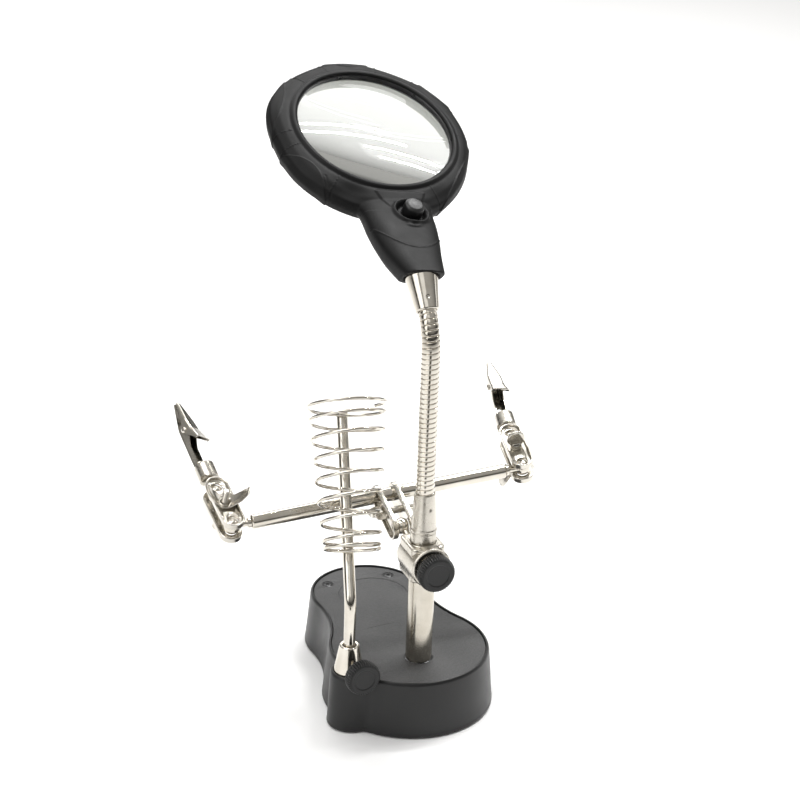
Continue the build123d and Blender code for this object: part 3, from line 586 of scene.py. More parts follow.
def knob_mesh(name, m, r=10.2, t=6.4, teeth=44, mat=KNOBM):
    prof = rounded([(0.0, -2.0), (r * 0.46, -2.0, 0.2), (r * 0.5, -1.7, 0.3), (r * 0.88, -0.3, 0.4), (r - 0.35, 0.0, 0.3), (r, 0.9, 0.6), (r, t - 1.5, 1.2), (r - 0.9, t - 0.15, 0.5), (r - 1.9, t, 0.3), (r * 0.64, t - 0.12, 0.3), (r * 0.60, t - 0.42, 0.2), (0.0, t - 0.5)], seg=4)

    def mod(a, i, q, z):
        w = smooth01((q - (r - 1.9)) / 1.0) * smooth01((z + 0.5) / 1.0)
        s = abs(math.sin(a * teeth / 2)) ** 0.7
        return -0.62 * w * (1 - s)
    return Piece().lathe(prof, m, teeth * 10, mod=mod).make(name, mat, 50)


kb_m = mov(POST[0], POST[1] - 16.4, 93.0) @ frame_at((0, 0, 0), (1, 0, 0), (0, -1, 0))
put(knob_mesh("clamp_knob", kb_m), "block_knob", "knob_plastic", "block_knob")
ks = Piece().lathe(rounded([(0, -7.6), (2.9, -7.6), (2.9, -2.2, 0.3), (4.4, -1.9, 0.3), (4.4, -1.2)], seg=3), kb_m, 48).make("knob_screw", NICKEL)
put(ks, "block_knob", "nickel_plate", "block_screw")

# ball stud behind the block
stud_root = Vector(BLOCK_C) + Vector((-1.0, 11.0, 3.0))
stud_ball = Vector(BLOCK_C) + Vector((-4.0, 21.5, 9.5))
sdir = (stud_ball - stud_root)
slen = sdir.length
sm = frame_at(stud_root, (1, 0, 0), sdir)


def ball_prof(start, neck_r, cz, r=BALL_R, n=22):
    a0 = math.asin(neck_r / r)
    out = list(start)
    for k in range(n + 1):
        a = a0 + (math.pi - a0) * k / n
        out.append((max(0.0, r * math.sin(a)), cz - r * math.cos(a)))
    return out


st = Piece().lathe(ball_prof([(0, -0.9), (2.4, -0.9), (2.4, 3.0), (3.05, 3.15), (3.1, 4.5), (2.9, 4.7), (1.9, 4.75), (1.9, slen - 4.3)], 1.9, slen), sm, 56).make("ball_stud_part", NICKEL)
put(st, "ball_stud", "nickel_plate", "ball_stud")


# -------------------------------------------------------------- clamp plates
def tray(pc, m, pitch, hole_far, hole_near=3.2, bolt_hole=2.15, r=PR):
    """Stamped plate: floor with holes and a turned-up rim, outer face up."""
    z0, z1, z2 = GAP, GAP + PT, GAP + PT + PRIM
    so = slot2(pitch, r)
    prof = rounded([(-1.3, z0), (0.0, z0, 1.15), (0.0, z2 - 0.1, 0.5), (-0.55, z2, 0.25), (-1.1, z2 - 0.15, 0.3), (-1.15, z1 + 0.1, 0.8), (-2.2, z1)], seg=5)
    pc.skin([[(x, y, z) for x, y in so(o)] for o, z in prof], m, cap0=False, cap1=False)
    hs = [circle(hole_near, 0, 0), circle(hole_far, pitch, 0), circle(bolt_hole, pitch / 2, 0)]
    for z, o in ((z0, -1.3), (z1, -2.2)):
        lps = [[Vector((x, y, z)) for x, y in so(o)]] + [[Vector((x, y, z)) for x, y in h(0.22)] for h in hs]
        tri = geometry.tessellate_polygon(lps)
        pc.add([p for q in lps for p in q], [tuple(t) for t in tri], m)
    for h in hs:
        pc.skin([[(x, y, z) for x, y in h(o)] for o, z in ((0.22, z0), (0.06, z0 + 0.06), (0, z0 + 0.22), (0, z1 - 0.22), (0.06, z1 - 0.06), (0.22, z1))], m, cap0=False, cap1=False)
    return pc


FLIP = Matrix.Rotation(math.pi, 4, "X")


def plates(name, m, pitch, far, body, node):
    pc = Piece()
    tray(pc, m, pitch, far)
    o = pc.make(name + "_upper", NICKEL_STAMP, 40, 1e-6)
    put(o, body, "nickel_plate", node)
    pc = Piece()
    tray(pc, m @ FLIP, pitch, far)
    o = pc.make(name + "_lower", NICKEL_STAMP, 40, 1e-6)
    put(o, body, "nickel_plate", node)


def bolt_mesh(name, m, up, down, body, node, spade=5.2):
    """Bolt with thread ridges above and a flattened spade head below."""
    pc = Piece()
    prof = [(0.0, -down - 1.2), (3.2, -down - 1.2), (3.3, -down - 0.9), (3.3, -down - 0.3), (3.1, -down - 0.06), (2.0, -down - 0.05)]
    z = 1.0
    prof += [(1.98, -down + 0.1), (1.98, z)]
    while z < up - 0.7:
        prof += [(1.98, z + 0.08), (1.7, z + 0.32), (1.7, z + 0.38), (1.98, z + 0.62)]
        z += 0.7
    prof += [(1.95, up - 0.3), (1.5, up), (0.0, up)]
    pc.lathe(prof, m, 40)
    # neck and spade
    loops = []
    for t in np.linspace(0, 1, 26):
        zz = -down - 1.0 - t * (2 * spade - 0.4)
        wv = spade * math.sqrt(max(0.0, 1 - ((t - 0.5) * 2) ** 2)) if t > 0.12 else 2.3 + t * 10
        wv = max(wv, 2.3 * (1 - smooth01(t / 0.3)), 0.3)
        th = 1.9 * (1 - smooth01(t / 0.22)) + 0.85 * smooth01(t / 0.22) * (1.0 if t < 0.93 else 0.6)
        loops.append([(wv * math.copysign(abs(math.cos(q)) ** 0.75, math.cos(q)), th * math.copysign(abs(math.sin(q)) ** 0.8, math.sin(q)), zz) for q in [TAU * k / 32 for k in range(32)]])
    pc.skin(loops, m)
    o = pc.make(name, NICKEL_STAMP, 42)
    put(o, body, "nickel_plate", node)
    return o


def wing_mesh(name, m, body, node, hub=4.4, h=4.6, reach=12.4, lift=6.4, dish=5.0):
    """Stamped wing nut: dished foot, threaded hub and two curled wings."""
    pc = Piece()
    pc.torus_lathe(rounded([(2.06, 0.0), (dish - 0.4, 0.0, 0.2), (dish, 0.35, 0.3), (dish + 0.1, 1.3, 0.3), (dish - 0.5, 1.5, 0.3), (dish - 0.9, 1.0, 0.4), (hub - 0.8, 0.95, 0.5), (hub - 1.2, h, 0.5), (2.5, h, 0.3), (2.06, h - 0.4)], closed=True, seg=3), m, 56)
    for s in (1, -1):
        rows = []
        nz, nw = 15, 9
        base_w = min(dish * 0.92, 4.4)
        for j in range(nz + 1):
            t = j / nz
            # wing rises outwards, widens and curls
            x = (dish - 1.2) + (reach - 0.95 - dish + 1.2) * (1 - (1 - t) ** 1.6)
            z = 1.0 + (lift + 3.2) * t ** 1.05
            w = base_w * (0.98 - 0.20 * t) * math.sqrt(max(0.0, 1 - max(0.0, (t - 0.45) / 0.55) ** 2.4)) + 0.02
            row = []
            for i in range(nw + 1):
                q = -1 + 2 * i / nw
                curl = 0.9 * (1 - t) * q * q - 0.5 * t * q * q
                row.append(Vector((s * (x - curl * 1.6), q * w, z + 0.5 * (1 - t) * q * q)))
            rows.append(row)
        nrm = []
        for j in range(nz + 1):
            rr = []
            for i in range(nw + 1):
                a = rows[min(j + 1, nz)][i] - rows[max(j - 1, 0)][i]
                b = rows[j][min(i + 1, nw)] - rows[j][max(i - 1, 0)]
                c = a.cross(b)
                rr.append(c.normalized() if c.length > 1e-9 else Vector((0, 0, 1)))
            nrm.append(rr)
        loops = []
        for j in range(nz + 1):
            th = 0.6 if j < nz else 0.25
            up = [rows[j][i] + nrm[j][i] * th * (1 if 0 < i < nw else 0.45) for i in range(nw + 1)]
            dn = [rows[j][i] - nrm[j][i] * th * (1 if 0 < i < nw else 0.45) for i in range(nw, -1, -1)]
            loops.append(up + dn)
        pc.skin(loops, m)
    o = pc.make(name, NICKEL_STAMP, 50)
    put(o, body, "nickel_plate", node)
    return o


# --------------------------------------------------------------- middle clamp
rod_m = frame_at(ROD_C, (0, 1, 0), ROD_DIR)
rd = Vector(ROD_DIR)
foot = Vector(ROD_C) + rd * ((stud_ball - Vector(ROD_C)).dot(rd))
mu = foot - stud_ball
mlen = mu.length
mid_m = frame_at(stud_ball, mu, ROD_DIR)
plates("mid_plate", mid_m, mlen, ROD_R + 0.08, "mid_clamp", "mid_clamp_plates")
mb = mid_m @ mov(mlen / 2, 0, 0) @ rot("Y", 180)
bolt_mesh("mid_bolt", mb @ rot("Z", 35), PO + 8.6, PO, "mid_clamp", "mid_clamp_bolt")
wing_mesh("mid_wing", mb @ mov(0, 0, PO + 0.1) @ rot("Z", 40), "mid_wing_nut", "mid_wing_nut", 3.8, 4.4, 6.9, 4.0, 3.9)

# ------------------------------------------------------------------ cross rod
rod = Piece().lathe(rounded([(0, -ROD_HALF), (3.3, -ROD_HALF), (4.0, -ROD_HALF + 0.7, 0.3), (4.0, ROD_HALF - 0.7, 0.3), (3.3, ROD_HALF), (0, ROD_HALF)], seg=3), rod_m, 72).make("cross_bar", NICKEL)
put(rod, "cross_rod", "nickel_plate", "cross_rod")
for side, fl in (("left", True), ("right", False)):
    mm_ = rod_m @ (Matrix.Rotation(math.pi, 4, "X") if fl else Matrix.Identity(4))
    q = ball_prof([(0, ROD_HALF - 2), (1.5, ROD_HALF - 2), (1.5, ROD_HALF + 0.2), (2.7, ROD_HALF + 0.2), (2.9, ROD_HALF + 0.4), (2.9, ROD_HALF + 1.9), (2.7, ROD_HALF + 2.15), (2.0, ROD_HALF + 2.2), (1.8, ROD_HALF + 3.0), (2.0, ROD_BALL - 4.1)], 2.0, ROD_BALL)
    put(Piece().lathe(q, mm_, 56).make(side + "_rod_end_ball", NICKEL), side + "_rod_ball", "nickel_plate", side + "_rod_ball")


# ------------------------------------------------------------------ the clips
RIV, TIP, TAIL = 43.0, 63.0, 33.5


def interp(tab, z):
    for (z0, v0), (z1, v1) in zip(tab, tab[1:]):
        if z <= z1:
            t = (z - z0) / (z1 - z0)
            return v0 + (v1 - v0) * max(0, t)
    return tab[-1][1]


def channel(m, zs, floor_x, wall_x, half, th, up, corner=0.9, teeth=None, mat=NICKEL_STAMP, name="jaw"):
    """Folded sheet: floor at floor_x(z), walls to wall_x(z), half width half(z). up=+1 walls toward +X."""
    outer, inner = [], []
    nc = 5
    for z in zs:
        fx, wx, hw = floor_x(z), wall_x(z), half(z)
        for store, off in ((outer, 0.0), (inner, th)):
            h = hw - off
            f = fx + up * off
            c = max(0.12, min(corner - off * 0.7, h * 0.8))
            row = [(wx, -h, z)]
            for k in range(4):
                row.append((wx + (f + up * c - wx) * (k + 1) / 5, -h, z))
            for k in range(nc + 1):
                a = math.pi / 2 * k / nc
                row.append((f + up * c * (1 - math.sin(a)), -h + c * (1 - math.cos(a)), z))
            for k in range(1, 6):
                row.append((f, -h + c + (2 * h - 2 * c) * k / 6, z))
            for k in range(nc + 1):
                a = math.pi / 2 * (1 - k / nc)
                row.append((f + up * c * (1 - math.sin(a)), h - c * (1 - math.cos(a)), z))
            for k in range(4):
                row.append((f + up * c + (wx - f - up * c) * (k + 1) / 5, h, z))
            row.append((wx, h, z))
            store.append(row)
    loops = [o + i[::-1] for o, i in zip(outer, inner)]
    return Piece().skin(loops, m).make(name, mat, 48)


def teeth_fn(z, z0, depth, pitch=1.55):
    if z < z0:
        return 0.0
    p = ((z - z0) / pitch) % 1.0
    return depth * (2 * p if p < 0.5 else 2 - 2 * p)


def clip(side, cb, a, t):
    m = frame_at(cb, t, a)
    # ball, stud and shoulder
    q = []
    n = 22
    a1 = math.asin(1.9 / BALL_R)
    for k in range(n + 1):
        w = math.pi - (math.pi - a1) * k / n
        q.append((max(0.0, BALL_R * math.sin(w)), BALL_R * math.cos(w)))
    q += [(1.9, 7.3), (2.5, 7.45), (2.6, 7.7), (2.6, 8.35), (2.4, 8.6), (1.9, 8.65), (1.9, 14.0), (0, 14.0)]
    put(Piece().lathe(q, m, 56).make(side + "_clip_end_ball", NICKEL), side + "_clip_ball", "nickel_plate", side + "_clip_ball")
    bar = Piece().lathe(rounded([(2.0, 13.0), (2.0, 9.6), (2.8, 9.4), (2.8, 8.8), (5.2, 8.8, 0.3), (5.7, 9.2, 0.3), (5.7, 18.4, 0.5), (4.9, 19.3, 0.5), (4.3, 19.1, 0.3), (4.3, 15.2), (0.0, 15.2)], seg=4), m, 80, cap=True).make(side + "_barrel", NICKEL_SOFT)
    notch = Piece().lathe([(0, -8), (2.7, -8), (2.7, 8), (0, 8)], m @ mov(0, 0, 8.2) @ rot("X", 90), 40).make("notch", NICKEL_SOFT)
    cut(bar, [notch], sharp=40)
    put(bar, side + "_clip", "nickel_plate", side + "_clip_barrel")
    # lower jaw
    zs = sorted(set([19.3 + 0.4 * k for k in range(int((TIP - 19.3) / 0.4) + 1)] + [TIP, 48.0, 46.0, 40.0, 36.0]))
    fl = [(19.3, -4.35), (44.0, -4.35), (TIP - 0.6, -1.75), (TIP, -1.35)]
    wl = [(19.3, -1.4), (24.0, -0.7), (33.0, -0.7), (37.0, 0.6), (40.0, 1.7), (46.0, 1.7), (49.5, -0.15), (TIP, -0.15)]
    hw = [(19.3, 3.2), (24.0, 3.5), (47.0, 3.5), (60.5, 1.75), (TIP - 0.5, 1.5), (TIP, 1.1)]
    lj = channel(m, zs, lambda z: interp(fl, z), lambda z: interp(wl, z) - teeth_fn(z, 50.0, 0.55), lambda z: interp(hw, z), 0.6, 1, name=side + "_jaw_fixed")
    oval = Piece().lathe([(0, -3), (1.55, -3), (1.55, 3), (0, 3)], m @ mov(-4.2, 0, 26.5) @ rot("Y", 90) @ Matrix.Diagonal((1.35, 1, 1, 1)), 36).make("oval", NICKEL_STAMP)
    win = Piece().skin([[(1.0, y, 46.8), (-2.6, y, 47.6), (-3.0, y, 50.5), (-1.4, y, 53.6), (-0.95, y, 52.0)] for y in (-6, 6)], m).make("win", NICKEL_STAMP)
    cut(lj, [oval, win], sharp=48)
    put(lj, side + "_clip", "nickel_plate", side + "_lower_jaw")
    # the inner faces of the lower jaw's channel get the darker plating copy: painted shade in the hollow
    inside = lj.data.materials
    inside.append(NICKEL_PAINTED_SHADE)
    inv = m.inverted()
    for p in lj.data.polygons:
        c = inv @ (Vector(p.center) / MM)
        nn = inv.to_3x3() @ p.normal
        hw_ = interp(hw, c.z)
        fl_ = interp(fl, c.z)
        if c.z < 46 and c.z > 20.5 and abs(c.y) < hw_ - 0.5 and c.x > fl_ + 0.5:
            p.material_index = 1
    # crimped tail of the jaw inside the barrel
    cr = Piece().torus_lathe(rounded([(2.1, 16.0), (2.8, 16.0, 0.2), (2.9, 21.4, 0.3), (2.3, 21.8, 0.2), (2.1, 21.0)], closed=True, seg=3), m @ mov(-1.4, 0, 0), 40).make(side + "_jaw_crimp", NICKEL_STAMP)
    put(cr, side + "_clip", "nickel_plate")
    # upper jaw
    zs = sorted(set([TAIL + 0.4 * k for k in range(int((TIP - TAIL) / 0.4) + 1)] + [TIP, 42.0, 46.0, 49.8]))
    fu = [(TAIL, 7.9), (TAIL + 1.0, 7.35), (42.0, 4.95), (TIP - 0.8, 1.95), (TIP, 1.2)]
    wu = [(TAIL, 5.6), (37.0, 2.9), (39.2, 0.6), (41.0, -1.4), (43.0, -1.9), (45.2, -1.5), (47.5, -0.2), (50.5, 0.2), (TIP, 0.2)]
    hu = [(TAIL, 5.6), (TAIL + 0.8, 5.2), (40.0, 4.35), (49.0, 4.2), (60.5, 1.95), (TIP - 0.5, 1.65), (TIP, 1.2)]
    uj = channel(m, zs, lambda z: interp(fu, z), lambda z: interp(wu, z) + teeth_fn(z + 0.8, 51.0, 0.5), lambda z: interp(hu, z), 0.6, -1, name=side + "_jaw_moving", corner=1.3)
    put(uj, side + "_upper_jaw", "nickel_plate", side + "_upper_jaw")
    # rivet with domed ends
    rv = Piece().lathe(rounded([(0, -5.35), (0.9, -5.3, 0.2), (1.7, -4.75, 0.4), (1.7, -4.35, 0.1), (1.0, -4.3), (1.0, 4.3), (1.7, 4.35, 0.1), (1.7, 4.75, 0.4), (0.9, 5.3, 0.2), (0, 5.35)], seg=4), m @ mov(0, 0, RIV) @ rot("X", 90), 36).make(side + "_rivet", NICKEL)
    put(rv, side + "_clip", "nickel_plate", side + "_jaw_rivet")
    # torsion spring round the rivet
    hp = []
    turns = 4.5
    for k in range(int(turns * 20) + 1):
        w = TAU * k / 20
        hp.append((1.85 * math.cos(w), -2.2 + 4.4 * k / (turns * 20), 1.85 * math.sin(w)))
    hp = [(3.4, -2.2, -6.5), (1.9, -2.2, -1.2)] + hp + [(-1.9, 2.2, -1.2), (-3.4, 2.2, -6.8)]
    sp = Piece().tube(hp, 0.35, m @ mov(0, 0, RIV), 8).make(side + "_spring", STEEL)
    put(sp, side + "_clip", "steel", side + "_jaw_spring")


SIDES = {
    "left": dict(k=-1, u=(-0.066, 0.94, 0.335), n=(0.046, -0.335, 0.94), up=1, a=(-0.106, 0.85, 0.505), t=(0.65, -0.33, 0.6465), turn=-20),
    "right": dict(k=1, u=(0.148, 0.965, 0.2145), n=(-0.185, -0.21, 0.96), up=-1, a=(0.161, 0.913, 0.381), t=(-0.017, -0.363, 0.881), turn=-25),
}
for side, d in SIDES.items():
    o = Vector(ROD_C) + rd * (d["k"] * ROD_BALL)
    n_ = Vector(d["n"]).normalized()
    m = frame_at(o, d["u"], n_)
    plates(side + "_plate", m, PITCH, 3.2, side + "_clamp", side + "_clamp_plates")
    mm_ = m @ mov(PITCH / 2, 0, 0) @ (Matrix.Identity(4) if d["up"] > 0 else FLIP)
    bolt_mesh(side + "_bolt", mm_ @ rot("Z", 90), PO + 9.4, PO, side + "_clamp", side + "_clamp_bolt")
    wing_mesh(side + "_wing", mm_ @ mov(0, 0, PO + 0.1) @ rot("Z", 90 + d["turn"]), side + "_wing_nut", side + "_wing_nut", 3.6, 2.2, 12.4, 8.6)
    cb = m @ Vector((PITCH, 0, 0))
    clip(side, cb, d["a"], d["t"])

# ---------------------------------------------------------------- iron holder
sk_m = mov(SOCKET[0], SOCKET[1], DECK_Z + 0.02)
sk = Piece().lathe(rounded([(0, 0), (8.1, 0), (8.35, 0.4, 0.3), (8.0, 2.0, 1.5), (5.55, 14.8, 0.6), (5.35, 15.8, 0.4), (4.8, 16.3, 0.3), (3.75, 16.2, 0.2), (3.45, 15.6), (3.35, 8.0), (0, 8.0)], seg=5), sk_m, 88, cap=False).make("rod_socket", NICKEL)
put(sk, "stand", "nickel_plate", "iron_socket")
KD = Vector((0.06, -1.0, 0.0)).normalized()
kn = Vector((SOCKET[0], SOCKET[1], DECK_Z + 5.62)) + KD * 15.4
kn_m = frame_at(kn, (0, 0, 1), KD)
put(knob_mesh("holder_knob", kn_m, 9.5, 6.4, 42), "iron_knob", "knob_plastic", "iron_knob")
put(Piece().lathe(rounded([(0, -11.9), (1.8, -11.9), (1.8, -3.0), (2.9, -2.8, 0.2), (2.9, -1.4)], seg=3), kn_m, 40).make("holder_screw", NICKEL), "iron_knob", "nickel_plate")

LEAN, HEADG = math.radians(36.5), math.radians(76.0)
ID = Vector((math.sin(LEAN) * math.cos(HEADG), math.sin(LEAN) * math.sin(HEADG), math.cos(LEAN)))
IB = Vector((SOCKET[0], SOCKET[1], 73.0))
IN_ = Vector((-math.cos(LEAN) * math.cos(HEADG), -math.cos(LEAN) * math.sin(HEADG), math.sin(LEAN)))
bend = 14.0
half = LEAN / 2
tl = bend * math.tan(half)
hv = Vector((math.cos(HEADG), math.sin(HEADG), 0))
cen = IB + Vector((0, 0, -tl)) + hv * bend
path = [IB + Vector((0, 0, z - 73.0)) for z in (34.0, 40.0, 48.0, 56.0, 62.0)]
for k in range(13):
    w = LEAN * k / 12
    path.append(cen - hv * (bend * math.cos(w)) + Vector((0, 0, bend * math.sin(w))))
for s in (8, 20, 35, 50, 65, 80, 95, 104.6):
    path.append(IB + ID * (tl + s if tl + s < 105 else 104.6))
path = [p for i, p in enumerate(path) if i == 0 or (p - path[i - 1]).length > 0.3]
rodp = Piece().tube(path + [IB + ID * 105.4, IB + ID * 105.9, IB + ID * 106.0], lambda t: 3.2, n=40)
ir = rodp.make("holder_rod", NICKEL)
# round the free end
endc = IB + ID * 106.0
for v in ir.data.vertices:
    p = Vector(v.co) / MM
    s = (p - IB).dot(ID)
    if s > 105.0:
        ax = IB + ID * s
        f = {True: 0.86, False: 0.97}[s > 105.95] if s > 105.6 else 1.0
        v.co = (ax + (p - ax) * f) * MM
put(ir, "iron_holder", "nickel_plate", "iron_rod")

C0 = IB + ID * 27.0 + IN_ * (14.7 + 0.8 + 3.2 + 0.02)
C1 = IB + ID * 105.0 + IN_ * (21.4 + 0.8 + 3.2 + 0.02)
CA = (C1 - C0).normalized()
CL = (C1 - C0).length
coil_m = frame_at(C0, -IN_, CA)
HS = [(-0.7, -1.2), (0.0, 0.0), (1.0, 3.4), (2.0, 14.2), (3.0, 25.4), (4.0, 36.6), (5.0, 47.6), (6.0, 58.4), (7.0, 69.2), (8.0, 76.4), (8.9, 78.6)]
HAND = 1
PHASE = math.radians(120)
xs = np.array([a for a, b in HS])
ys = np.array([b for a, b in HS])
cp = []
STEP = 36
n0, n1 = -0.62, 8.52
for k in range(int((n1 - n0) * STEP) + 1):
    n_ = n0 + k / STEP
    # smooth the pitch changes
    h = float(np.mean([np.interp(n_ + dd, xs, ys) for dd in np.linspace(-0.42, 0.42, 15)]))
    R_ = 14.7 + (21.4 - 14.7) * min(1, max(0, h / CL))
    w = HAND * TAU * n_ + PHASE
    cp.append((R_ * math.cos(w), R_ * math.sin(w), h))
coilp = Piece().tube(cp, lambda t: 0.96, coil_m, 14)
put(coilp.make("coil_wire", NICKEL), "iron_holder", "nickel_plate", "iron_coil")

# ----------------------------------------------------------------------- neck
NH = math.radians(86.5)
NHV = Vector((math.cos(NH), math.sin(NH), 0))
NX = Vector((math.sin(NH), -math.cos(NH), 0))
NA = math.radians(38.0)
PX, PY = POST
ST, BR = 209.0, 36.0
ARC_END = Vector((PX, PY, ST + BR * math.sin(NA))) + NHV * (BR * (1 - math.cos(NA)))
ND = Vector((math.sin(NA) * NHV.x, math.sin(NA) * NHV.y, math.cos(NA)))


def neck_pt(s):
    """Centre line: s is the height up to the bend, then arc length. Returns point and direction."""
    if s <= ST:
        return Vector((PX, PY, s)), Vector((0, 0, 1))
    q = s - ST
    if q <= BR * NA:
        w = q / BR
        return Vector((PX, PY, ST + BR * math.sin(w))) + NHV * (BR * (1 - math.cos(w))), Vector((0, 0, 1)) * math.cos(w) + NHV * math.sin(w)
    return ARC_END + ND * (q - BR * NA), ND


def goose(name, s0, s1, mat=NICKEL):
    """Round-wire and wedge-wire winding: a helical groove every 2.75 mm."""
    pitch = 2.75
    nseg, per = 48, 14
    per = 20
    rows = int((s1 - s0) / pitch * per)
    verts, faces = [], []
    loops = []
    for j in range(rows + 1):
        s = s0 + (s1 - s0) * j / rows
        c, t = neck_pt(s)
        x = NX
        y = t.cross(x)
        lp = []
        for k in range(nseg):
            a = TAU * k / nseg
            p = ((s - 122.0) / pitch - a / TAU) % 1.0
            # rounded land with a narrow groove
            q = abs(p - 0.5) * 2
            r = 5.0 - 0.60 * smooth01((q - 0.80) / 0.16) - 0.07 * q * q
            lp.append(c + (x * math.cos(a) + y * math.sin(a)) * r)
        loops.append(lp)
    return Piece().skin(loops).make(name, mat, 60)


NL = ST + BR * NA
g1 = goose("neck_winding_low", 123.0, 154.4)
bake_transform(g1)
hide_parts("gooseneck_1", "gooseneck_2")
g2 = goose("neck_winding_mid", 154.4, 180.0)
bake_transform(g2)
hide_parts("gooseneck_3")
g3 = goose("neck_winding_high", 180.0, NL + 7.0)
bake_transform(g3)
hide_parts("gooseneck_4")

uf_m = frame_at(ARC_END, NX, ND)
uf = rounded([(5.2, 0.2), (5.9, 0.0, 0.3), (6.3, 0.5, 0.3)], seg=3) + [(6.3 + 2.4 * t, 0.6 + 17.8 * t) for t in np.linspace(0.02, 1, 36)] + rounded([(8.72, 18.5), (8.80, 19.6, 0.3), (7.7, 20.0), (7.3, 22.4), (0, 22.5)], seg=3)
dm2 = dimple(0.7, math.radians(-95), 6.0, 1.0)
put(Piece().lathe(uf, uf_m, 144, mod=dm2, cap=False).make("upper_ferrule", NICKEL), "magnifier", "nickel_plate", "neck_upper_ferrule")

# ---------------------------------------------------------- magnifier head
FT = ARC_END + ND * 20.0
toF = FT - LENS_C
HW = (toF - LENS_N * toF.dot(LENS_N)).normalized()
HSd = LENS_N.cross(HW)
HM = frame_at(LENS_C, HW, LENS_N)
HI = HM.inverted()
fpt = HI @ FT
fdir = (HI.to_3x3() @ ND)
OPEN_R = 44.4

ring_sec = rounded([(49.2, -14.2, 0.4), (48.2, -11.0, 0.5), (46.4, -4.6, 0.6), (44.4, -2.6, 0.3), (44.4, 1.7, 0.5), (45.0, 2.7, 0.5), (46.6, 2.85, 0.5), (47.6, 2.3, 0.5), (48.3, 1.2, 0.4), (49.6, 1.3, 0.8), (52.5, 0.5, 3.0), (56.0, -2.6, 3.0), (57.3, -7.0, 3.0), (56.0, -11.6, 3.0), (52.9, -14.3, 1.2)], closed=True, seg=5)


OUT_T = [-180, -172, -163, -154, -142, -135, -124, -110, -96, -85, -77, -70, -62, -52, -39, -30, -22, 0, 20, 31, 45, 60, 70, 84, 95, 108, 116, 122, 128, 136, 143, 150, 160, 168, 174, 180]
OUT_R = [60.6, 60.5, 59.6, 58.2, 58.2, 59.0, 60.2, 60.6, 59.8, 58.3, 58.2, 59.6, 61.0, 61.6, 62.2, 62.6, 62.8, 62.8, 62.6, 60.4, 58.4, 56.9, 56.4, 57.2, 57.9, 58.2, 59.4, 60.4, 60.8, 60.2, 58.9, 58.2, 58.2, 58.9, 60.2, 60.6]


def out_r(deg):
    ds = np.linspace(-24, 24, 49)
    ws = np.exp(-(ds / 10.5) ** 2)
    return float(np.sum(ws * np.array([np.interp((deg + d + 180.0) % 360.0 - 180.0, OUT_T, OUT_R) for d in ds])) / ws.sum())


def ring_mod(a, r, z):
    w = smooth01((r - 48.5) / 7.0)
    return w * (out_r(math.degrees(a)) - 57.3)


hp = Piece()
hp.torus_lathe(ring_sec, None, 240, ring_mod)
secs = []
for x, wd, z0, z1 in ((50.5, 50.0, -12.5, -0.6), (57.0, 43.0, -13.2, 0.9), (65.0, 40.0, -13.2, 2.4), (74.0, 39.0, -12.9, 3.6), (86.0, 35.6, -12.0, 4.9), (98.0, 30.6, -10.6, 6.4)):
    secs.append((Vector((x, 0, (z0 + z1) / 2)), Vector((0, 1, 0)), Vector((0, 0, 1)), wd, z1 - z0))
fo = -fdir
e = fpt - fdir * 0.1
zz = Vector((0, 0, 1))
zz = (zz - fo * zz.dot(fo)).normalized()
yy = zz.cross(fo)
secs.append((fpt + fo * 1.2, Vector((0, 1, 0)), zz, 23.0, 20.4))
loops = []
for c, ya, za, wd, hg in secs:
    lp = []
    for k in range(64):
        a = TAU * k / 64
        ex = 2.0 / 3.0
        lp.append(c + ya * (wd / 2 * math.copysign(abs(math.cos(a)) ** ex, math.cos(a))) + za * (hg / 2 * math.copysign(abs(math.sin(a)) ** ex, math.sin(a))))
    loops.append(lp)
# smooth loft through the sections
fine = []
cnt = len(loops)
for i in range(cnt - 1):
    p0, p1, p2, p3 = loops[max(0, i - 1)], loops[i], loops[i + 1], loops[min(cnt - 1, i + 2)]
    for k in range(8):
        t = k / 8
        row = []
        for a_, b_, c_, d_ in zip(p0, p1, p2, p3):
            row.append(0.5 * ((2 * b_) + (c_ - a_) * t + (2 * a_ - 5 * b_ + 4 * c_ - d_) * t * t + (3 * b_ - a_ - 3 * c_ + d_) * t ** 3))
        fine.append(row)
fine.append(loops[-1])
for rr, dd in ((10.4, 1.7), (9.6, 1.7), (9.5, 0.2)):
    lp = []
    for k in range(64):
        a = TAU * k / 64
        ca, sa = math.cos(a), math.sin(a)
        lp.append(fpt + fo * dd + yy * 0 + Vector((0, 1, 0)) * (min(rr, 9.4) * ca) + zz * (min(rr, 9.0) * sa))
    fine.append(lp)
handle = Piece().skin(fine).make("handle_core", HEADM)
head = hp.make("head_casing", HEADM)
bore = Piece().lathe([(0, -30), (44.4, -30), (44.4, 30), (0, 30)], None, 200).make("bore", HEADM)
bpy.data.objects.remove(bore, do_unlink=True)
bm = bmesh.new()
bm.from_mesh(head.data)
bm.from_mesh(handle.data)
bm.to_mesh(head.data)
bm.free()
bpy.data.objects.remove(handle, do_unlink=True)
rm = head.modifiers.new("r", "REMESH")
rm.mode = "VOXEL"
rm.voxel_size = 0.00046
bake(head)
sm_ = head.modifiers.new("s", "SMOOTH")
sm_.factor = 0.5
sm_.iterations = 11
bake(head)

BTN = (64.6, 6.4)
co = np.empty(len(head.data.vertices) * 3)
head.data.vertices.foreach_get("co", co)
co = co.reshape(-1, 3) / MM
no = np.empty(len(head.data.vertices) * 3)
head.data.vertices.foreach_get("normal", no)
no = no.reshape(-1, 3)
X, Y, Z = co[:, 0], co[:, 1], co[:, 2]
R_ = np.hypot(X, Y)
TH = np.degrees(np.arctan2(Y, X))
disp = np.zeros(len(co))


def sstep(x):
    x = np.clip(x, 0, 1)
    return x * x * (3 - 2 * x)


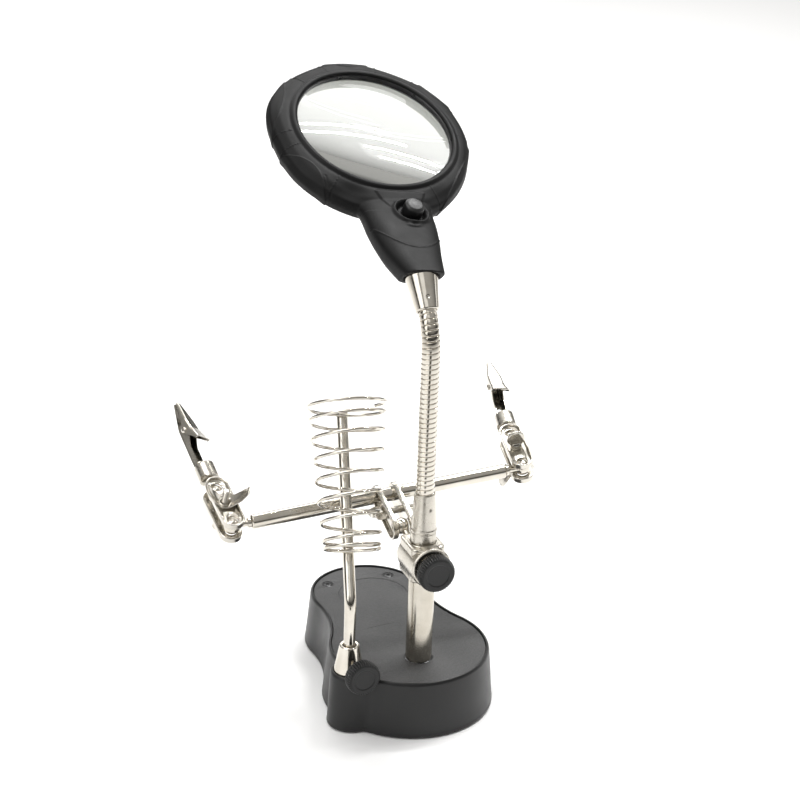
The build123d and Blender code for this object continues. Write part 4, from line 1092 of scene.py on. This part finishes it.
AL = np.degrees(np.arctan2(Z + 6.2, R_ - 50.5))     # angle round the ring's section
outside = (R_ > 48.6)
line = np.zeros(len(co))
for tc, hwid, deep in ((184, 17, 0.8), (128, 15, 0.8), (58, 31, 0.9), (-110, 26, 0.8), (-54, 17.5, 1.0)):
    dth = (TH - tc + 180) % 360 - 180
    u = dth / hwid
    top = 82 * np.cos(np.clip(u, -1, 1) * math.pi / 2) ** 0.8 - 8
    bot = -95.0
    inside = (np.abs(u) < 1) & outside
    dist_top = (top - AL) * 0.12
    dist_end = (1 - np.abs(u)) * hwid * 0.95
    edge = np.minimum(dist_top, dist_end)
    edge = np.where(inside & (AL > bot), edge, np.where(np.abs(u) < 1, np.minimum(dist_top, dist_end), dist_end))
    m_in = sstep(edge / 0.7 + 0.5) * outside * (AL > -100)
    hollow = sstep(edge / 6.0)
    disp += m_in * (0.32 - 0.62 * deep * hollow)
    line = np.maximum(line, np.exp(-((edge) / 0.32) ** 2) * outside * (AL > -100) * (np.abs(u) < 1.05))
# second parting line beside the lower left pad
th2 = -43.0 + (R_ - 54.0) * 1.08
disp -= 0.32 * np.exp(-(((TH - th2) * R_ * 0.01745) / 0.45) ** 2) * (R_ > 53.5) * (R_ < 66) * (AL > -70)
# valleys between the pads and the handle
for tc, amt in ((-26, 1.6), (27, 0.9)):
    dth = (TH - tc + 180) % 360 - 180
    disp -= amt * np.exp(-(dth / 9.0) ** 2) * np.exp(-((AL - 48) / 34.0) ** 2) * outside * (R_ < 66)
# seam across the handle
sx = 95.8 - 0.045 * (Y - 1.5) ** 2
seam = np.exp(-((X - sx) / 0.42) ** 2) * (Z > -3) * (X > 70)
disp += 0.42 * seam
# flat ramp from the rim to the button
ramp_w = 15.5 - (X - 48.0) * 0.45
rx = sstep((X - 48.5) / 1.5) * sstep((63.5 - X) / 4.0) * sstep((ramp_w - np.abs(Y - 3.0)) / 1.2) * (Z > -4) * (no[:, 2] > 0.3)
disp += 0.55 * rx
# recess and raised collar round the button
bd = np.hypot((X - BTN[0] - 1.3), (Y - BTN[1] + 1.2))
topside = (no[:, 2] > 0.15) & (Z > -6)
disp += topside * (1.5 * np.exp(-((bd - 9.3) / 1.1) ** 2) - 2.2 * sstep((8.4 - bd) / 1.1))
# thumb ridge below the button
rdg = np.hypot((X - BTN[0] - 12.4) * 1.0, (Y - BTN[1] + 2.4) * 0.42)
disp += topside * 0.7 * np.exp(-((rdg - 1.0) / 1.0) ** 2) * (X > BTN[0] + 9.5)
disp += 0.30 * line
co2 = co + no * disp[:, None]
lim = (R_ < 48.4)
co2[lim] = co[lim]
# keep the rim round and crisp near the lens
head.data.vertices.foreach_set("co", (co2 * MM).ravel())
head.data.update()
head.data.transform(Matrix.Translation((0, 0, 0)))
hm = HM.copy()
hm.translation = HM.translation * MM
head.data.transform(hm)
for p in head.data.polygons:
    p.use_smooth = True
head.data.materials.clear()
head.data.materials.append(HEADM)
put(head, "magnifier", "black_plastic", "head_front_shell", "head_rear_shell")

HMs = HM
BIG = 330.0
lens_prof = [(0.0, -4.2)]
for k in range(1, 15):
    r = 45.6 * k / 14
    lens_prof.append((r, BIG - 4.2 - math.sqrt(BIG * BIG - r * r)))
lens_prof += [(45.9, -0.9), (45.9, -0.7)]
for k in range(14, 0, -1):
    r = 45.6 * k / 14
    lens_prof.append((r, 2.6 - BIG + math.sqrt(BIG * BIG - r * r)))
lens_prof.append((0.0, 2.6))
lens_m = HM @ mov(0, 0, -1.0)
ln = Piece().lathe(lens_prof, lens_m, 160).make("lens_body", GLASS, 50, 1e-7)
put(ln, "magnifier", "lens_glass", "lens")
lr = Piece().torus_lathe(rounded([(43.9, -1.6), (44.45, -1.6), (44.45, 1.2), (44.2, 1.35, 0.1), (43.9, 1.0)], closed=True, seg=2), HM, 200).make("lens_retainer", RIM)
put(lr, "magnifier", "black_plastic", "lens_ring")
df = Piece().torus_lathe(rounded([(44.25, -3.5), (45.8, -3.5), (47.9, -13.0), (47.6, -14.6, 0.3), (46.2, -14.7, 0.3), (45.2, -11.0)], closed=True, seg=3), HM, 160).make("lamp_light_guide", BOARD)
put(df, "magnifier", "board")
bt_m = HM @ mov(BTN[0], BTN[1], 0)
bt = Piece().lathe(rounded([(0, -1.5), (5.7, -1.5), (5.7, 3.6, 0.3), (5.35, 6.4, 1.1), (3.9, 7.3, 1.5), (1.5, 7.55, 1.5), (0, 7.6)], seg=6), bt_m, 72).make("push_button", KNOBM)
put(bt, "switch_button", "knob_plastic", "switch_button")

# ----------------------------------------- carried-over pieces, inside or below
MATS = {
    "ballast": IRON, "bottom_cover": BLACK, "rubber_feet": RUBBER, "cover_screws": STEEL, "battery_tray": BLACK, "battery_door": BLACK, "battery_cells": CELL,
    "post_nut": STEEL, "iron_socket_screw": STEEL, "switch_body": KNOBM, "lamp_board": BOARD, "head_screws": STEEL,
}
for n_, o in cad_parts.items():
    mt = MATS.get(n_, NICKEL)
    o.data.materials.clear()
    o.data.materials.append(mt)

# ---------------------------------------------------------------- the studio
floor_m, nt, b, co_ = mat_base("studio_floor")
b.inputs["Roughness"].default_value = 0.55
b.inputs["Specular IOR Level"].default_value = 0.25
nt.links.new(ramp(nt, noise_tex(nt, co_, 3.0, 2.0), [(0.3, (0.93, 0.93, 0.93)), (0.7, (0.95, 0.95, 0.95))]), b.inputs["Base Color"])
fl = Piece().skin([[(-3000, -3000, 0), (3000, -3000, 0), (3000, 3000, 0), (-3000, 3000, 0)]], cap0=True, cap1=False).make("studio_floor", floor_m)
# a dark studio flag low in front, seen only in the plating
flag_m, nt, b, co_ = mat_base("studio_flag")
b.inputs["Roughness"].default_value = 0.9
nt.links.new(ramp(nt, noise_tex(nt, co_, 4.0, 2.0), [(0.3, (0.035, 0.030, 0.020)), (0.7, (0.060, 0.052, 0.036))]), b.inputs["Base Color"])
fu, fv = Vector((-0.378, -0.926, 0)), Vector((0.926, -0.378, 0))
fg = Piece().skin([[fu * 330 - fv * 62 + Vector((0, 0, 1.5)), fu * 330 + fv * 62 + Vector((0, 0, 1.5)), fu * 1400 + fv * 300 + Vector((0, 0, 1.5)), fu * 1400 - fv * 300 + Vector((0, 0, 1.5))]], cap0=True, cap1=False).make("studio_flag", flag_m)
fg.visible_camera = False
fg.visible_diffuse = False
fg.visible_transmission = False
fg.visible_shadow = False


def area(name, loc, target, size, power, size_y=None, color=(1, 1, 1)):
    l = bpy.data.lights.new(name, "AREA")
    l.energy = power
    l.color = color
    l.shape = "RECTANGLE"
    l.size = size
    l.size_y = size_y or size
    o = bpy.data.objects.new(name, l)
    o.location = loc
    o.rotation_euler = (Vector(target) - Vector(loc)).to_track_quat("-Z", "Y").to_euler()
    bpy.context.scene.collection.objects.link(o)
    return o


area("key_top", (-0.62, -0.05, 1.50), (0, 0, 0.10), 1.0, 9.5, 1.0)
area("left_box", (-1.35, -0.45, 0.85), (0, 0, 0.15), 0.8, 5.0, 1.1)
area("right_box", (1.30, 0.10, 0.80), (0, 0, 0.15), 0.6, 2.4, 1.0)
area("back_wash", (0.35, 1.75, 1.60), (0.3, 1.2, 0.0), 1.8, 21.5, 1.2)
area("front_fill", (-0.7, -1.5, 1.5), (0, 0, 0.05), 1.0, 1.2, 0.6)

# rows of ceiling tubes, seen as curved lines in the lens
vdir = Vector((math.sin(math.radians(-22.2)) * math.cos(math.radians(22.6)), -math.cos(math.radians(-22.2)) * math.cos(math.radians(22.6)), math.sin(math.radians(22.6))))
rdir = (LENS_N * (2 * LENS_N.dot(vdir)) - vdir).normalized()
sdir = (HSd - rdir * HSd.dot(rdir)).normalized()
qdir = rdir.cross(sdir)
lens_w = LENS_C * MM
for i, (side, up, length, wide, pw) in enumerate(((-0.26, 0.16, 0.62, 0.016, 5.0), (-0.22, 0.10, 0.66, 0.016, 5.0), (0.16, 0.03, 0.50, 0.013, 3.6), (0.24, -0.03, 0.55, 0.013, 3.6), (0.00, -0.22, 0.42, 0.013, 2.4))):
    c = lens_w + rdir * 1.30 + sdir * side + qdir * up
    l = bpy.data.lights.new("tube_%d" % i, "AREA")
    l.shape = "RECTANGLE"
    l.size, l.size_y, l.energy = length, wide, pw
    o = bpy.data.objects.new("tube_%d" % i, l)
    zax = -(lens_w - c).normalized()
    xax = (sdir - zax * sdir.dot(zax)).normalized()
    yax = zax.cross(xax)
    o.matrix_world = Matrix(((xax.x, yax.x, zax.x, c.x), (xax.y, yax.y, zax.y, c.y), (xax.z, yax.z, zax.z, c.z), (0, 0, 0, 1)))
    bpy.context.scene.collection.objects.link(o)

w = bpy.data.worlds.new("studio")
bpy.context.scene.world = w
w.use_nodes = True
nt = w.node_tree
bg = nt.nodes["Background"]
tc = nt.nodes.new("ShaderNodeTexCoord")
sep = nt.nodes.new("ShaderNodeSeparateXYZ")
nt.links.new(tc.outputs["Generated"], sep.inputs[0])
rp = nt.nodes.new("ShaderNodeValToRGB")
els = rp.color_ramp.elements
stops = [(0.0, 0.9), (0.49, 0.8), (0.515, 0.07), (0.59, 0.07), (0.67, 0.36), (0.78, 0.60), (1.0, 0.62)]
while len(els) < len(stops):
    els.new(0.5)
for e_, (p, v) in zip(els, stops):
    e_.position = p
    e_.color = (v, v * 0.985, v * 0.95, 1)
mr = nt.nodes.new("ShaderNodeMapRange")
mr.inputs["From Min"].default_value = -1.0
mr.inputs["From Max"].default_value = 1.0
nt.links.new(sep.outputs["Z"], mr.inputs["Value"])
nt.links.new(mr.outputs["Result"], rp.inputs["Fac"])
nt.links.new(rp.outputs["Color"], bg.inputs["Color"])
bg.inputs["Strength"].default_value = 0.75

# ------------------------------------------------------------------ the camera
AZ, EL, ROLL = math.radians(-22.2), math.radians(22.6), math.radians(-2.03)
back = Vector((math.sin(AZ) * math.cos(EL), -math.cos(AZ) * math.cos(EL), math.sin(EL)))
right0 = Vector((math.cos(AZ), math.sin(AZ), 0))
up0 = back.cross(right0)
right = right0 * math.cos(ROLL) - up0 * math.sin(ROLL)
upv = up0 * math.cos(ROLL) + right0 * math.sin(ROLL)
cd = bpy.data.cameras.new("camera")
cd.lens = 90.0
cd.sensor_width = 36.0
cd.clip_end = 20.0
cam = bpy.data.objects.new("camera", cd)
pos = Vector((-377.4, -925.9, 584.8)) * MM
cam.matrix_world = Matrix(((right.x, upv.x, back.x, pos.x), (right.y, upv.y, back.y, pos.y), (right.z, upv.z, back.z, pos.z), (0, 0, 0, 1)))
bpy.context.scene.collection.objects.link(cam)
bpy.context.scene.camera = cam
bpy.context.scene.view_settings.view_transform = "Standard"
